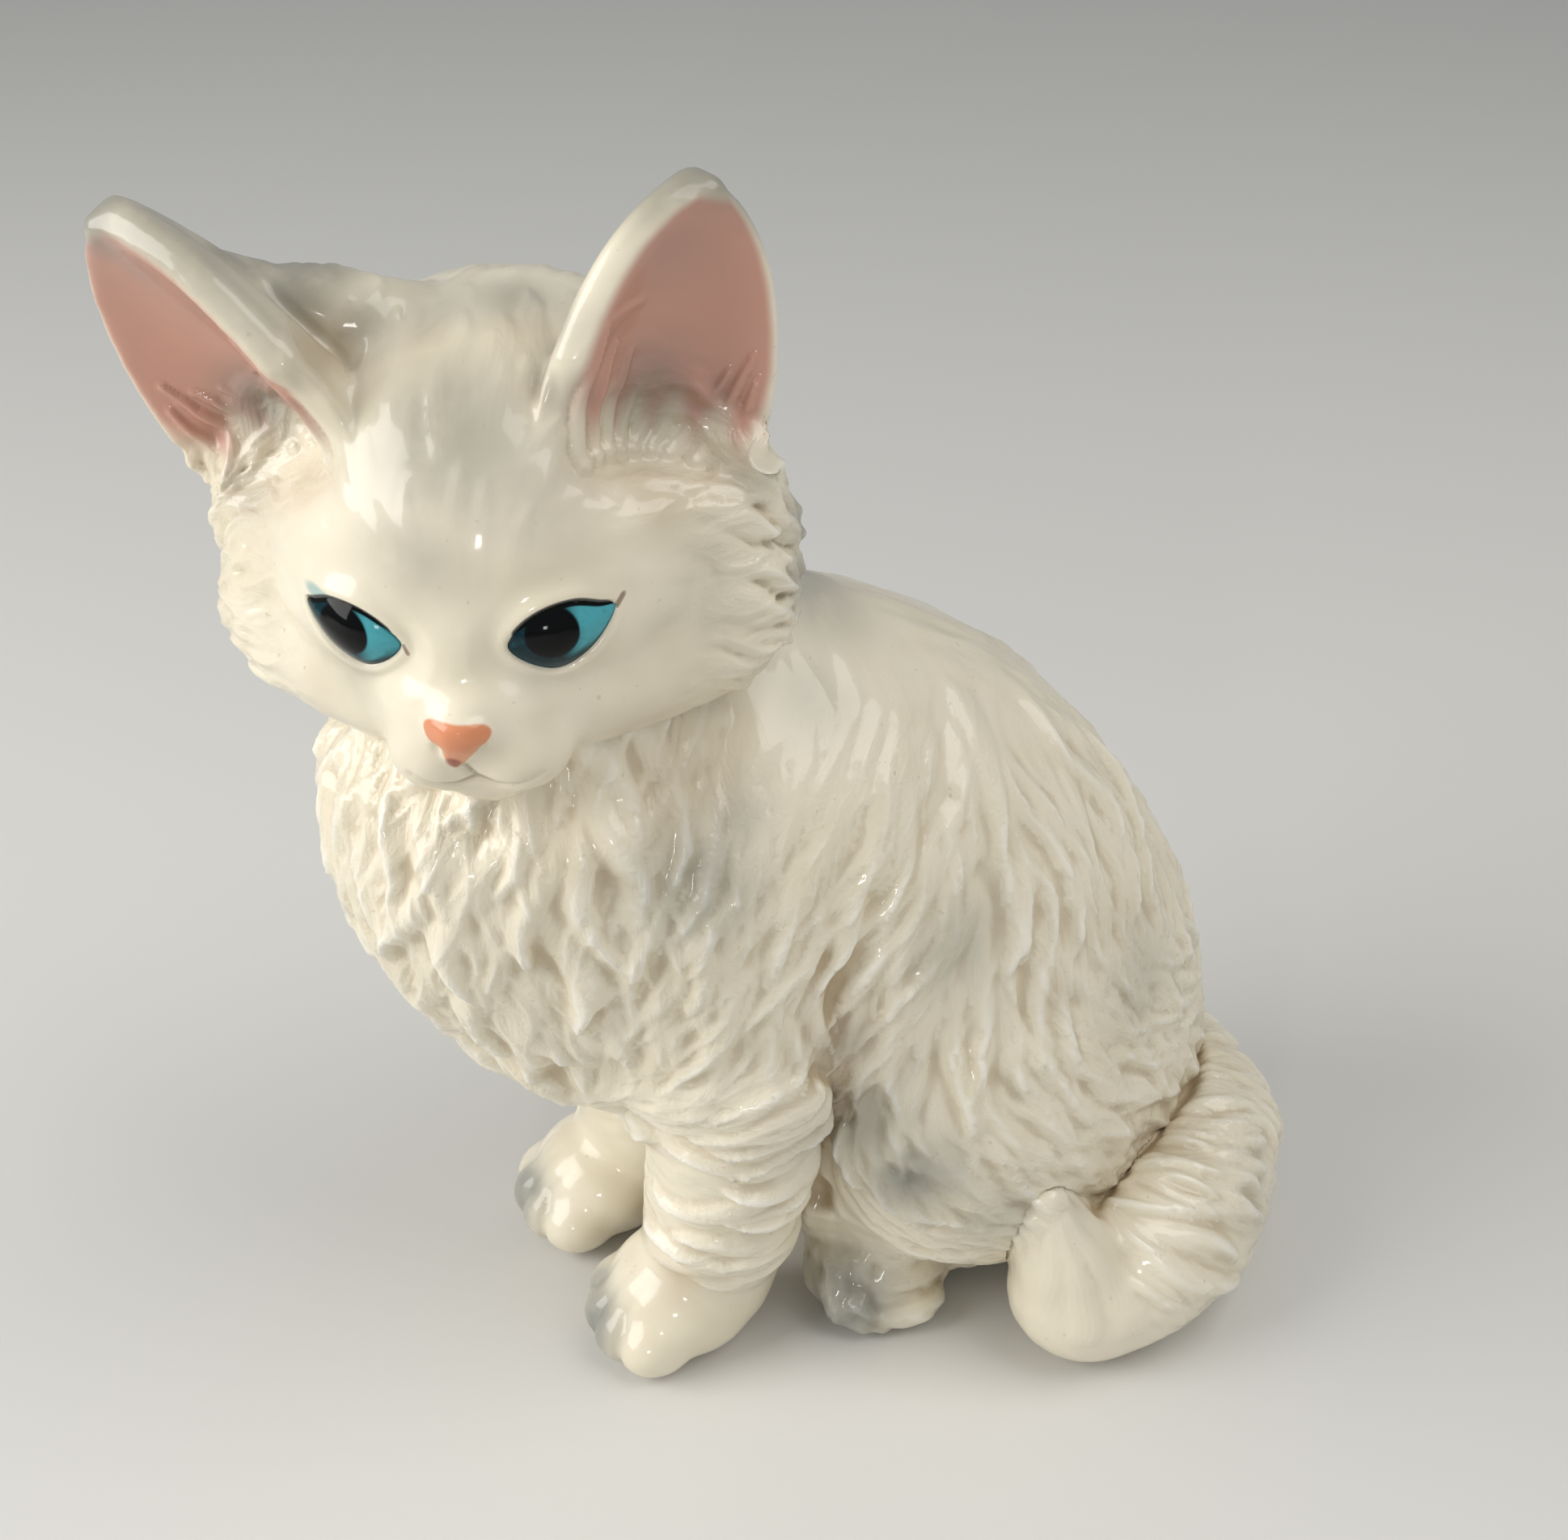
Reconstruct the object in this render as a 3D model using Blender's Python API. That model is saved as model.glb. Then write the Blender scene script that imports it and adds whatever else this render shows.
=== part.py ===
"""Seated long-haired kitten, a hollow slip-cast porcelain figurine.

The castings are kept apart as they are before luting: a hollow body, a hollow head, two ears, two
forelegs, two hind paws and a tail. Every luted joint keeps the thin gap that the slip fills.
Metres, +Z up, the kitten's chest faces -Y and its left side is +X; it stands on z = 0.
"""

import math

import bmesh
import bpy
from mathutils import Euler, Matrix, Vector

MM = 0.001

# Casting
WALL = 3.2
LUTE_GAP = 0.3
VENT_RADIUS = 1.6
VENT_PLACE = (0.0, 40.0)

# Modelling clay: the grain of the skin, and how far the forms are rubbed into one another
BODY_GRAIN = 1.3
LIMB_GRAIN = 1.0
EAR_GRAIN = 0.7
BODY_RUBBING = 14
HEAD_RUBBING = 12
LIMB_RUBBING = 5

# Share of the skin's faces that each casting keeps
BODY_SHARE = 0.065
HEAD_SHARE = 0.085
LIMB_SHARE = 0.1
EAR_SHARE = 0.08
CORE_SHARE = 0.03

# Body
HALF_HIPS = 27.0
HALF_CHEST = 23.0
BACK_END = 37.5

# Neck joint: a point of its plane and how far the plane rises towards the back
NECK_PLACE = (0.0, -8.0, 90.2)
NECK_RISE = 13.0
HALF_NECK = 18.0

# Head
HEAD_CENTRE = (2.3, -14.4, 105.6)
HEAD_YAW = 62.0
HEAD_PITCH = 6.0
HEAD_ROLL = -3.0
HALF_SKULL = 23.0

# Ears, in the head's own frame: the left one at 1, the right one at -1
EAR_TIPS = {1: (21.8, 1.0, 32.4), -1: (-28.9, -1.0, 31.4)}
EAR_ROOTS = {1: (13.2, 0.0, 9.0), -1: (-13.2, 1.0, 9.5)}
EAR_TURN = {1: 22.0, -1: 32.0}
EAR_HALF_WIDTHS = {1: 10.2, -1: 12.6}
EAR_CURL = 7.5
EAR_WALL = 2.6

# Legs and tail
LEG_MIDDLE = -2.6
PAW_SPREAD = 11.0
PAW_REACHES = {1: -1.0, -1: -2.8}
HIND_SPREAD = 6.5
TAIL_RADIUS = 10.5

IVORY = (0.80, 0.78, 0.71)


def clear_scene():
    for obj in list(bpy.data.objects):
        bpy.data.objects.remove(obj)


def place(centre, radii, turn=(0, 0, 0)):
    """Matrix of an ellipsoid from its centre and radii in millimetres and its turn in degrees."""
    spin = Euler([math.radians(a) for a in turn]).to_matrix().to_4x4()
    return Matrix.Translation(Vector(centre) * MM) @ spin @ Matrix.Diagonal([*(Vector(radii) * MM), 1])


def add_ball(mesh, centre, radii, turn=(0, 0, 0), inset=0.0):
    radii = [radius - inset for radius in radii]
    if min(radii) > 0.8:
        bmesh.ops.create_icosphere(mesh, subdivisions=4, radius=1, matrix=place(centre, radii, turn))


def spline(stations, steps=8):
    """Points of a Catmull-Rom curve through stations of any number of values each."""
    ends = [stations[0], *stations, stations[-1]]
    for a, b, c, d in zip(ends, ends[1:], ends[2:], ends[3:]):
        for step in range(steps):
            t = step / steps
            weights = (-t + 2 * t**2 - t**3, 2 - 5 * t**2 + 3 * t**3, t + 4 * t**2 - 3 * t**3, t**3 - t**2)
            yield [sum(w * v for w, v in zip(weights, values)) / 2 for values in zip(a, b, c, d)]
    yield list(stations[-1])


def add_roll(mesh, stations, inset=0.0):
    """A roll of clay: stations of (x, y, z, radius), or of (x, y, z) and three radii."""
    for x, y, z, *radii in spline(stations):
        radii = radii * 3 if len(radii) == 1 else radii
        radii = [radius - inset for radius in radii]
        bmesh.ops.create_icosphere(mesh, subdivisions=3, radius=1, matrix=place((x, y, z), radii))


def add_neck(mesh, inset):
    x, y, z = NECK_PLACE
    neck = [
        (x + 1, y - 1, z - 12, HALF_NECK, HALF_NECK + 1, 12),
        (x + 1, y - 2, z + 6, HALF_NECK - 1, HALF_NECK, 12),
    ]
    add_roll(mesh, neck, inset)


def body_forms(inset=0.0):
    shape = bmesh.new()
    trunk = [
        (0, BACK_END, 24, HALF_HIPS - 3, 31, 26.5),
        (0, BACK_END - 3, 37, HALF_HIPS - 3, 31, 27),
        (0, 26, 52, HALF_CHEST + 2, 31, 30),
        (0, 12, 64, HALF_CHEST + 1, 28, 29),
        (0, -2, 70, HALF_CHEST, 24, 22),
    ]
    add_roll(shape, trunk, inset)
    breast = [
        (0, 0, 52, 18, 18, 17),
        (0, -6, 60, HALF_CHEST - 2, 22, 18),
        (0, -11, 70, HALF_CHEST - 1, 22, 16),
        (0, -12, 78, HALF_CHEST - 1, 21, 10),
    ]
    add_roll(shape, breast, inset)
    add_neck(shape, inset)
    for side in (-1, 1):
        thigh = [
            (side * (HALF_HIPS - 13), 30, 36, 14, 18, 18),
            (side * (HALF_HIPS - 13), 33, 26, 14, 21, 20),
            (side * (HALF_HIPS - 18), 36, 13.5, 11, 20, 14.5),
        ]
        add_roll(shape, thigh, inset)
        shoulder = [(side * 15, 2, 66, 10, 16, 16), (side * 15, 4, 52, 9.5, 13, 16)]
        add_roll(shape, shoulder, inset)
    return shape


def head_forms(inset=0.0):
    """The skull, cheeks and muzzle in the head's own frame, then the neck in the kitten's."""
    shape = bmesh.new()
    add_ball(shape, (0, 3, 3), (HALF_SKULL, 22, 18.2), inset=inset)
    add_ball(shape, (0, -4, 0), (HALF_SKULL - 2, 15.5, 14), inset=inset)
    for side in (-1, 1):
        cheek = [(side * 18.8, 1, -2, 7.5, 9, 12), (side * 16.5, -3, -8, 8.5, 8, 9), (side * 8.5, -10, -9.5, 8, 8, 6.5)]
        add_roll(shape, cheek, inset)
        add_ball(shape, (side * 3.2, -18.8, -9.5), (4.8, 4.8, 4), inset=inset)
    add_ball(shape, (0, -13.5, -8), (10.5, 9.5, 7.5), inset=inset)
    add_ball(shape, (0, -17, -12.5), (4.6, 4.5, 3.6), inset=inset)
    add_ball(shape, (0, -21.3, -6.5), (3, 3.2, 2.6), inset=inset)
    add_roll(shape, [(0, -12, 5, 7, 6, 6), (0, -16, -2, 5, 5, 5)], inset)
    bmesh.ops.transform(shape, matrix=head_pose(), verts=shape.verts)
    add_neck(shape, inset)
    return shape


def head_pose():
    turn = Euler([math.radians(a) for a in (HEAD_PITCH, HEAD_ROLL, HEAD_YAW)])
    return Matrix.Translation(Vector(HEAD_CENTRE) * MM) @ turn.to_matrix().to_4x4()


def ear_sheet(side):
    """A pointed leaf curled towards the front, from the ear's root inside the skull to its tip."""
    shape = bmesh.new()
    root = Vector(EAR_ROOTS[side])
    axis = Vector(EAR_TIPS[side]) - root
    turn = math.radians(EAR_TURN[side])
    outward = Vector((side * math.sin(turn), -math.cos(turn), 0))
    across = axis.cross(outward).normalized()
    outward = across.cross(axis).normalized()
    steps_up, steps_across = 16, 12
    rows = []
    for up in [step / steps_up for step in range(steps_up + 1)]:
        width = max(1 - up**2.4, 0) ** 0.55
        half = EAR_HALF_WIDTHS[side] * width
        curl = EAR_CURL * (1 - up) ** 0.6 * width
        row = []
        for out in [2 * step / steps_across - 1 for step in range(steps_across + 1)]:
            spot = root + axis * up + across * out * half + outward * curl * (out * out - 0.6)
            row.append(shape.verts.new(spot * MM))
        rows.append(row)
    for low, high in zip(rows, rows[1:]):
        for step in range(steps_across):
            shape.faces.new((low[step], low[step + 1], high[step + 1], high[step]))
    bmesh.ops.remove_doubles(shape, verts=shape.verts, dist=0.00005)
    bmesh.ops.transform(shape, matrix=head_pose(), verts=shape.verts)
    return shape


def add_toes(mesh, centre, reach, turn):
    """Four toes fanned over the front of a paw that points along -Y before its turn."""
    spin = Matrix.Rotation(math.radians(turn), 4, "Z")
    for across, along, radius in ((-5.2, -0.78, 3.2), (-1.8, -0.98, 3.5), (1.8, -0.98, 3.5), (5.2, -0.78, 3.2)):
        spot = Vector(centre) + spin @ Vector((across, along * reach, 0))
        add_ball(mesh, (spot.x, spot.y, 3.6), (radius, radius + 1, radius), (0, 0, turn))


def foreleg_forms(side):
    shape = bmesh.new()
    x = LEG_MIDDLE + side * PAW_SPREAD
    leg = [
        (side * 13.5, 5, 46, 11),
        (LEG_MIDDLE / 2 + side * 13, 4.5, 30, 9.5),
        (x, 3.5, 14, 8.6),
        (x, 2.5, 8, 8),
    ]
    add_roll(shape, leg)
    y = PAW_REACHES[side]
    add_ball(shape, (x, y, 5), (8, 8.5, 6.3))
    add_toes(shape, (x, y, 0), 7, 0)
    return shape


def hind_paw_forms(side):
    shape = bmesh.new()
    centre = (side * HIND_SPREAD, 26, 5)
    add_ball(shape, centre, (7.6, 10, 6), (0, 0, side * 50))
    add_toes(shape, centre, 8.5, side * 50)
    return shape


def tail_forms():
    shape = bmesh.new()
    tail = [
        (2, 65, 11, TAIL_RADIUS - 0.5),
        (14, 63.5, 10, TAIL_RADIUS),
        (23, 56, 9.5, TAIL_RADIUS),
        (27.5, 47, 9, TAIL_RADIUS - 0.5),
        (28.5, 39.5, 8, TAIL_RADIUS - 2),
        (28.5, 37, 13, 5.8),
        (29, 37, 18.5, 3),
        (29, 37, 23, 0.8),
    ]
    add_roll(shape, tail)
    return shape


def new_object(name, shape):
    mesh = bpy.data.meshes.new(name)
    shape.to_mesh(mesh)
    shape.free()
    obj = bpy.data.objects.new(name, mesh)
    bpy.context.scene.collection.objects.link(obj)
    return obj


def rub(obj, grain, rubbing, share):
    """One skin over the joined forms, rubbed smooth, with the faces it can spare taken out."""
    remesh = obj.modifiers.new("One skin", "REMESH")
    remesh.mode = "VOXEL"
    remesh.voxel_size = grain * MM
    remesh.use_smooth_shade = True
    smooth = obj.modifiers.new("Rubbed", "SMOOTH")
    smooth.factor = 0.5
    smooth.iterations = rubbing
    fewer = obj.modifiers.new("Fewer faces", "DECIMATE")
    fewer.ratio = share


def clay(name, shape, grain, rubbing, share):
    obj = new_object(name, shape)
    rub(obj, grain, rubbing, share)
    return obj


def ear_clay(name, side):
    obj = new_object(name, ear_sheet(side))
    wall = obj.modifiers.new("Wall", "SOLIDIFY")
    wall.thickness = EAR_WALL * MM
    wall.offset = 0
    rub(obj, EAR_GRAIN, LIMB_RUBBING, EAR_SHARE)
    return obj


def make_cutter(obj):
    obj.hide_render = True
    obj.display_type = "WIRE"
    return obj


def room_for(obj):
    """A cutter that follows the casting's skin one luting gap outside it."""
    room = obj.copy()
    room.data = obj.data.copy()
    room.name = obj.name + "_room"
    bpy.context.scene.collection.objects.link(room)
    grow = room.modifiers.new("Luting gap", "DISPLACE")
    grow.strength = LUTE_GAP * MM
    grow.mid_level = 0
    return make_cutter(room)


def block(name, low, high, pose=None):
    """A box between two corners in millimetres, as a cutter."""
    shape = bmesh.new()
    size = Vector(high) - Vector(low)
    middle = (Vector(high) + Vector(low)) / 2
    bmesh.ops.create_cube(shape, size=1, matrix=place(middle, size))
    if pose is not None:
        bmesh.ops.transform(shape, matrix=pose, verts=shape.verts)
    return make_cutter(new_object(name, shape))


def vent_cutter():
    shape = bmesh.new()
    x, y = VENT_PLACE
    middle = Matrix.Translation(Vector((x, y, 0)) * MM)
    bmesh.ops.create_cone(
        shape,
        cap_ends=True,
        segments=24,
        radius1=VENT_RADIUS * MM,
        radius2=VENT_RADIUS * MM,
        depth=6 * WALL * MM,
        matrix=middle,
    )
    return make_cutter(new_object("vent_cutter", shape))


def carve(obj, *cutters):
    for cutter in cutters:
        cut = obj.modifiers.new("Cut by " + cutter.name, "BOOLEAN")
        cut.operation = "DIFFERENCE"
        cut.solver = "EXACT"
        cut.object = cutter


def glaze(obj, colour, roughness):
    material = bpy.data.materials.new(obj.name + "_glaze")
    material.use_nodes = True
    shader = material.node_tree.nodes["Principled BSDF"]
    shader.inputs["Base Color"].default_value = (*colour, 1)
    shader.inputs["Roughness"].default_value = roughness
    shader.inputs["Metallic"].default_value = 0
    obj.data.materials.clear()
    obj.data.materials.append(material)


def neck_blocks():
    """One cutter over the neck plane, for the body, and one under it, for the head."""
    pose = Matrix.Translation(Vector(NECK_PLACE) * MM) @ Matrix.Rotation(math.radians(NECK_RISE), 4, "X")
    half_gap = LUTE_GAP / 2
    over = block("over_neck_cutter", (-70, -70, -half_gap), (70, 70, 90), pose)
    under = block("under_neck_cutter", (-70, -70, -90), (70, 70, half_gap), pose)
    return over, under


def centre_on_base():
    """Moves everything so that the origin is under the middle of the bounding box, on the ground."""
    bpy.context.view_layer.update()
    depsgraph = bpy.context.evaluated_depsgraph_get()
    corners = []
    for obj in bpy.data.objects:
        if not obj.hide_render:
            box = obj.evaluated_get(depsgraph).bound_box
            corners += [obj.matrix_world @ Vector(corner) for corner in box]
    low = [min(corner[axis] for corner in corners) for axis in range(3)]
    high = [max(corner[axis] for corner in corners) for axis in range(3)]
    shift = Vector(((low[0] + high[0]) / 2, (low[1] + high[1]) / 2, low[2]))
    for obj in bpy.data.objects:
        obj.location = -shift


def main():
    clear_scene()
    ground = block("ground_cutter", (-90, -90, -40), (90, 130, 0))
    over_neck, under_neck = neck_blocks()

    body = clay("body_shell", body_forms(), BODY_GRAIN, BODY_RUBBING, BODY_SHARE)
    body_room = room_for(body)
    body_core = make_cutter(clay("body_core", body_forms(WALL), BODY_GRAIN, BODY_RUBBING, CORE_SHARE))
    carve(body_core, block("floor_cutter", (-90, -90, -40), (90, 130, WALL)))
    carve(body, over_neck, ground, body_core, vent_cutter())
    glaze(body, IVORY, 0.22)

    head = clay("head_shell", head_forms(), LIMB_GRAIN, HEAD_RUBBING, HEAD_SHARE)
    head_room = room_for(head)
    head_core = make_cutter(clay("head_core", head_forms(WALL), LIMB_GRAIN, HEAD_RUBBING, CORE_SHARE))
    carve(head, under_neck, head_core)
    glaze(head, IVORY, 0.2)

    for side, word in ((1, "left"), (-1, "right")):
        ear = ear_clay(word + "_ear", side)
        carve(ear, head_room)
        glaze(ear, (0.78, 0.66, 0.60), 0.24)
        leg = clay(word + "_foreleg", foreleg_forms(side), LIMB_GRAIN, LIMB_RUBBING, LIMB_SHARE)
        carve(leg, body_room, ground)
        glaze(leg, IVORY, 0.22)
        paw = clay(word + "_hind_paw", hind_paw_forms(side), LIMB_GRAIN, LIMB_RUBBING, LIMB_SHARE)
        carve(paw, body_room, ground)
        glaze(paw, IVORY, 0.22)

    tail = clay("tail", tail_forms(), LIMB_GRAIN, LIMB_RUBBING, LIMB_SHARE)
    carve(tail, body_room, ground)
    glaze(tail, IVORY, 0.24)
    centre_on_base()


main()
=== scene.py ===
"""Glazed porcelain kitten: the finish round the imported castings."""

import math

import bpy
import numpy as np
from mathutils import Euler, Matrix, Vector
from mathutils.bvhtree import BVHTree
from mathutils.kdtree import KDTree


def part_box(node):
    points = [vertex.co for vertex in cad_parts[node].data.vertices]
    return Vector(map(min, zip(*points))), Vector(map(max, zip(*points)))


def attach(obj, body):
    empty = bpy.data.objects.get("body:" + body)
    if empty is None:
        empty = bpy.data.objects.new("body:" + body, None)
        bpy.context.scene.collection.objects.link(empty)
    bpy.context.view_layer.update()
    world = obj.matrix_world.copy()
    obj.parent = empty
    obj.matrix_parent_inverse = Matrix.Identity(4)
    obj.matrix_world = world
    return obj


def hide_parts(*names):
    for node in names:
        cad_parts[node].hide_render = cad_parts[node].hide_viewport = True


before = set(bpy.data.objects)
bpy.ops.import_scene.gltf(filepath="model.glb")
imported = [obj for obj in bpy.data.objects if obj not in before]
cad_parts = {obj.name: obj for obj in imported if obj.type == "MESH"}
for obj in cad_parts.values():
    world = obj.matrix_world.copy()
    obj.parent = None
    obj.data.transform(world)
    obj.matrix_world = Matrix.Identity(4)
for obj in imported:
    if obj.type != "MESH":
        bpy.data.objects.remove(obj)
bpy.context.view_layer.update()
bpy.ops.object.select_all(action="DESELECT")

MM = 0.001
# Lengths below are in millimetres, in the kitten's modelling frame,
# which stands this far from the row's origin
SHIFT = np.array([-4.613, -15.36, 0.0])

# The grain of the skins that the tool works on
BODY_SKIN = 0.46
HEAD_SKIN = 0.3
CELL = 3.0  # the side of the boxes that points are looked up in
TURN_IN = 0.3  # how deep a casting's cut edge goes under its neighbour
MOST_TRIANGLES = 190_000  # in one casting
FAR = 1e9  # no distance is this long
EYE_CENTRE = np.array([5.5, -7.9, -0.5])  # the left eye's ball, in the head's frame

HEAD_CENTRE = np.array([2.3, -14.4, 105.6])
HEAD_TURN = Euler([math.radians(a) for a in (6.0, -3.0, 62.0)])
HEAD_SPIN = np.array(HEAD_TURN.to_matrix())
rng = np.random.default_rng(7)


# ---------------------------------------------------------------- camera, floor and light

def look_from(azimuth, elevation, place, lens):
    data = bpy.data.cameras.new("camera")
    data.lens = lens
    data.sensor_width = 36
    data.clip_start = 0.01
    camera = bpy.data.objects.new("camera", data)
    bpy.context.scene.collection.objects.link(camera)
    a, e = math.radians(azimuth), math.radians(elevation)
    back = Vector((math.sin(a) * math.cos(e), -math.cos(a) * math.cos(e), math.sin(e)))
    camera.location = (Vector(place) + Vector(SHIFT)) * MM
    camera.rotation_euler = back.to_track_quat("Z", "Y").to_euler()
    bpy.context.scene.camera = camera
    return camera


def softbox(name, place, aim, size, power, colour):
    data = bpy.data.lights.new(name, "AREA")
    data.shape = "RECTANGLE"
    data.size, data.size_y = size
    data.energy = power
    data.color = colour
    light = bpy.data.objects.new(name, data)
    bpy.context.scene.collection.objects.link(light)
    light.location = place
    light.rotation_euler = (Vector(place) - Vector(aim)).to_track_quat("Z", "Y").to_euler()
    return light


look_from(67.0, 33.0, (181.3, -61.2, 197.0), 50.6)
softbox("window", (-0.06, -0.55, 0.36), (0, 0, 0.06), (0.45, 0.45), 3.3, (1.0, 0.985, 0.96))
softbox("lamp", (0.45, -0.27, 0.16), (0, 0, 0.08), (0.05, 0.05), 0.22, (1.0, 0.98, 0.95))
softbox("ceiling", (0.25, 0.25, 0.6), (0, 0, 0.05), (0.45, 0.45), 1.9, (1.0, 0.98, 0.95))
world = bpy.data.worlds.new("studio")
bpy.context.scene.world = world
world.use_nodes = True
world.node_tree.nodes["Background"].inputs["Color"].default_value = (0.80, 0.82, 0.84, 1)
world.node_tree.nodes["Background"].inputs["Strength"].default_value = 0.4
bpy.context.scene.view_settings.view_transform = "Standard"


# ---------------------------------------------------------------- materials

def hex_colour(code):
    """sRGB hex to linear RGBA."""
    parts = [int(code[i : i + 2], 16) / 255 for i in (1, 3, 5)]
    return [c / 12.92 if c <= 0.04045 else ((c + 0.055) / 1.055) ** 2.4 for c in parts] + [1.0]


def add_node(tree, kind, settings=None, links=None):
    """A node with its settings, and its inputs linked by name or number."""
    node = tree.nodes.new(kind)
    for key, value in (settings or {}).items():
        if isinstance(key, int) or key in node.inputs:
            node.inputs[key].default_value = value
        else:
            setattr(node, key, value)
    for key, source in (links or {}).items():
        tree.links.new(source, node.inputs[key])
    return node


def paint_over(tree, under, source, start, full, colour, strength=1.0, fade="SMOOTHSTEP"):
    """One colour laid over the rest: none where the source is at start, all its strength where it is full."""
    if isinstance(source, str):
        source = add_node(tree, "ShaderNodeAttribute", {"attribute_name": source}).outputs["Fac"]
    amount = add_node(
        tree,
        "ShaderNodeMapRange",
        {"interpolation_type": fade, "From Min": start, "From Max": full, "To Max": strength},
        {"Value": source},
    )
    laid = add_node(
        tree,
        "ShaderNodeMix",
        {"data_type": "RGBA", 7: hex_colour(colour)},
        {"Factor": amount.outputs["Result"], 6: under},
    )
    return laid.outputs[2]


# Each paint: the attribute it follows, where it starts, where it is full, its colour and its strength
EAR_LININGS = (("pink", 0.0, 1.3, "#C48E7C", 0.95),)
FACE_PAINTS = (
    ("mouth", 0.36, 0.08, "#8F7A58", 0.55),
    ("nose", -0.08, 0.12, "#D98C62", 1.0),
    ("nose_tip", 0.1, 0.6, "#8A3A28", 0.85),
    ("teal", 0.2, 0.8, "#5C9FA6", 0.6),
    ("tear", 0.1, 0.6, "#6B4632", 0.75),
    ("lid", -0.26, -0.1, "#15110F", 0.95),
)


def glazed_porcelain(name, grey, first_paints=(), last_paints=()):
    """Slip-cast porcelain under a clear glaze, fired glossy: ivory, and lighter on the ridges, partly where
    the glaze runs thin and partly painted light, warmer where it pools in the hair's hollows and darker there
    as painted shade, with grey-blue and tan airbrushed on before the glaze."""
    material = bpy.data.materials.new(name)
    material.use_nodes = True
    tree = material.node_tree
    shader = tree.nodes["Principled BSDF"]
    place = add_node(tree, "ShaderNodeTexCoord").outputs["Object"]
    # cloudy firing marks 12 mm across, the sponge's marks every 5 mm, flecks half a millimetre across,
    # and the glaze's own faint waviness, 3 mm from crest to crest
    cloud, sponge, fleck, wave = [
        add_node(tree, "ShaderNodeTexNoise", {"Scale": 1 / (size * MM), "Detail": detail}, {"Vector": place})
        for size, detail in ((12, 2.0), (5, 3.0), (0.9, 1.0), (3, 0.0))
    ]
    base = add_node(tree, "ShaderNodeRGB")
    base.outputs[0].default_value = hex_colour("#E9E0CA")
    colour = paint_over(tree, base.outputs[0], cloud.outputs["Fac"], 0.42, 0.68, "#DED4BB", 0.8)
    # the ridges are painted lighter and the hollows painted tan: partly the glaze running thin and pooling,
    # partly painted light and shade on the hair's relief
    colour = paint_over(tree, colour, "hollow", -0.05, -0.55, "#F2EEE2", 0.8)
    colour = paint_over(tree, colour, "hollow", 0.05, 0.6, "#A58B5F", 0.66)
    for paint in first_paints:
        colour = paint_over(tree, colour, *paint)
    # the airbrush's grey, broken up by the sponge
    sprayed = add_node(tree, "ShaderNodeAttribute", {"attribute_name": "airbrush"})
    broken = [
        add_node(
            tree,
            "ShaderNodeMapRange",
            {"interpolation_type": "SMOOTHSTEP", "From Min": start, "From Max": full},
            {"Value": source.outputs["Fac"]},
        ).outputs["Result"]
        for source, start, full in ((sprayed, 0.0, 0.85), (sponge, -0.25, 0.6))
    ]
    broken = add_node(tree, "ShaderNodeMath", {"operation": "MULTIPLY"}, {0: broken[0], 1: broken[1]})
    colour = paint_over(tree, colour, broken.outputs[0], 0, 1, grey, 0.8, "LINEAR")
    colour = paint_over(tree, colour, "wash", 0, 1, "#9C7F58", 0.62, "LINEAR")
    for paint in last_paints:
        colour = paint_over(tree, colour, *paint)
    colour = paint_over(tree, colour, fleck.outputs["Fac"], 0.74, 0.80, "#A89878", 0.3)
    tree.links.new(colour, shader.inputs["Base Color"])
    shader.inputs["Roughness"].default_value = 0.44
    shader.inputs["Specular IOR Level"].default_value = 0.35
    shader.inputs["IOR"].default_value = 1.52
    shader.inputs["Coat Weight"].default_value = 0.6
    shader.inputs["Coat Roughness"].default_value = 0.09
    # single hairs, 0.75 mm apart, scored along each lock
    across = add_node(tree, "ShaderNodeAttribute", {"attribute_name": "across"}).outputs["Fac"]
    relief = add_node(tree, "ShaderNodeAttribute", {"attribute_name": "relief"}).outputs["Fac"]
    hairs = across
    for operation, second in (("MULTIPLY", 2 * math.pi / 0.75), ("SINE", 0.0)):
        hairs = add_node(tree, "ShaderNodeMath", {"operation": operation, 1: second}, {0: hairs}).outputs[0]
    hairs = add_node(tree, "ShaderNodeMath", {"operation": "MULTIPLY"}, {0: hairs, 1: relief}).outputs[0]
    bump = add_node(tree, "ShaderNodeBump", {"Strength": 0.2, "Distance": 0.12 * MM}, {"Height": hairs})
    bump = add_node(
        tree,
        "ShaderNodeBump",
        {"Strength": 0.3, "Distance": 0.12 * MM},
        {"Height": wave.outputs["Fac"], "Normal": bump.outputs[0]},
    )
    tree.links.new(bump.outputs[0], shader.inputs["Normal"])
    return material


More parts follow.
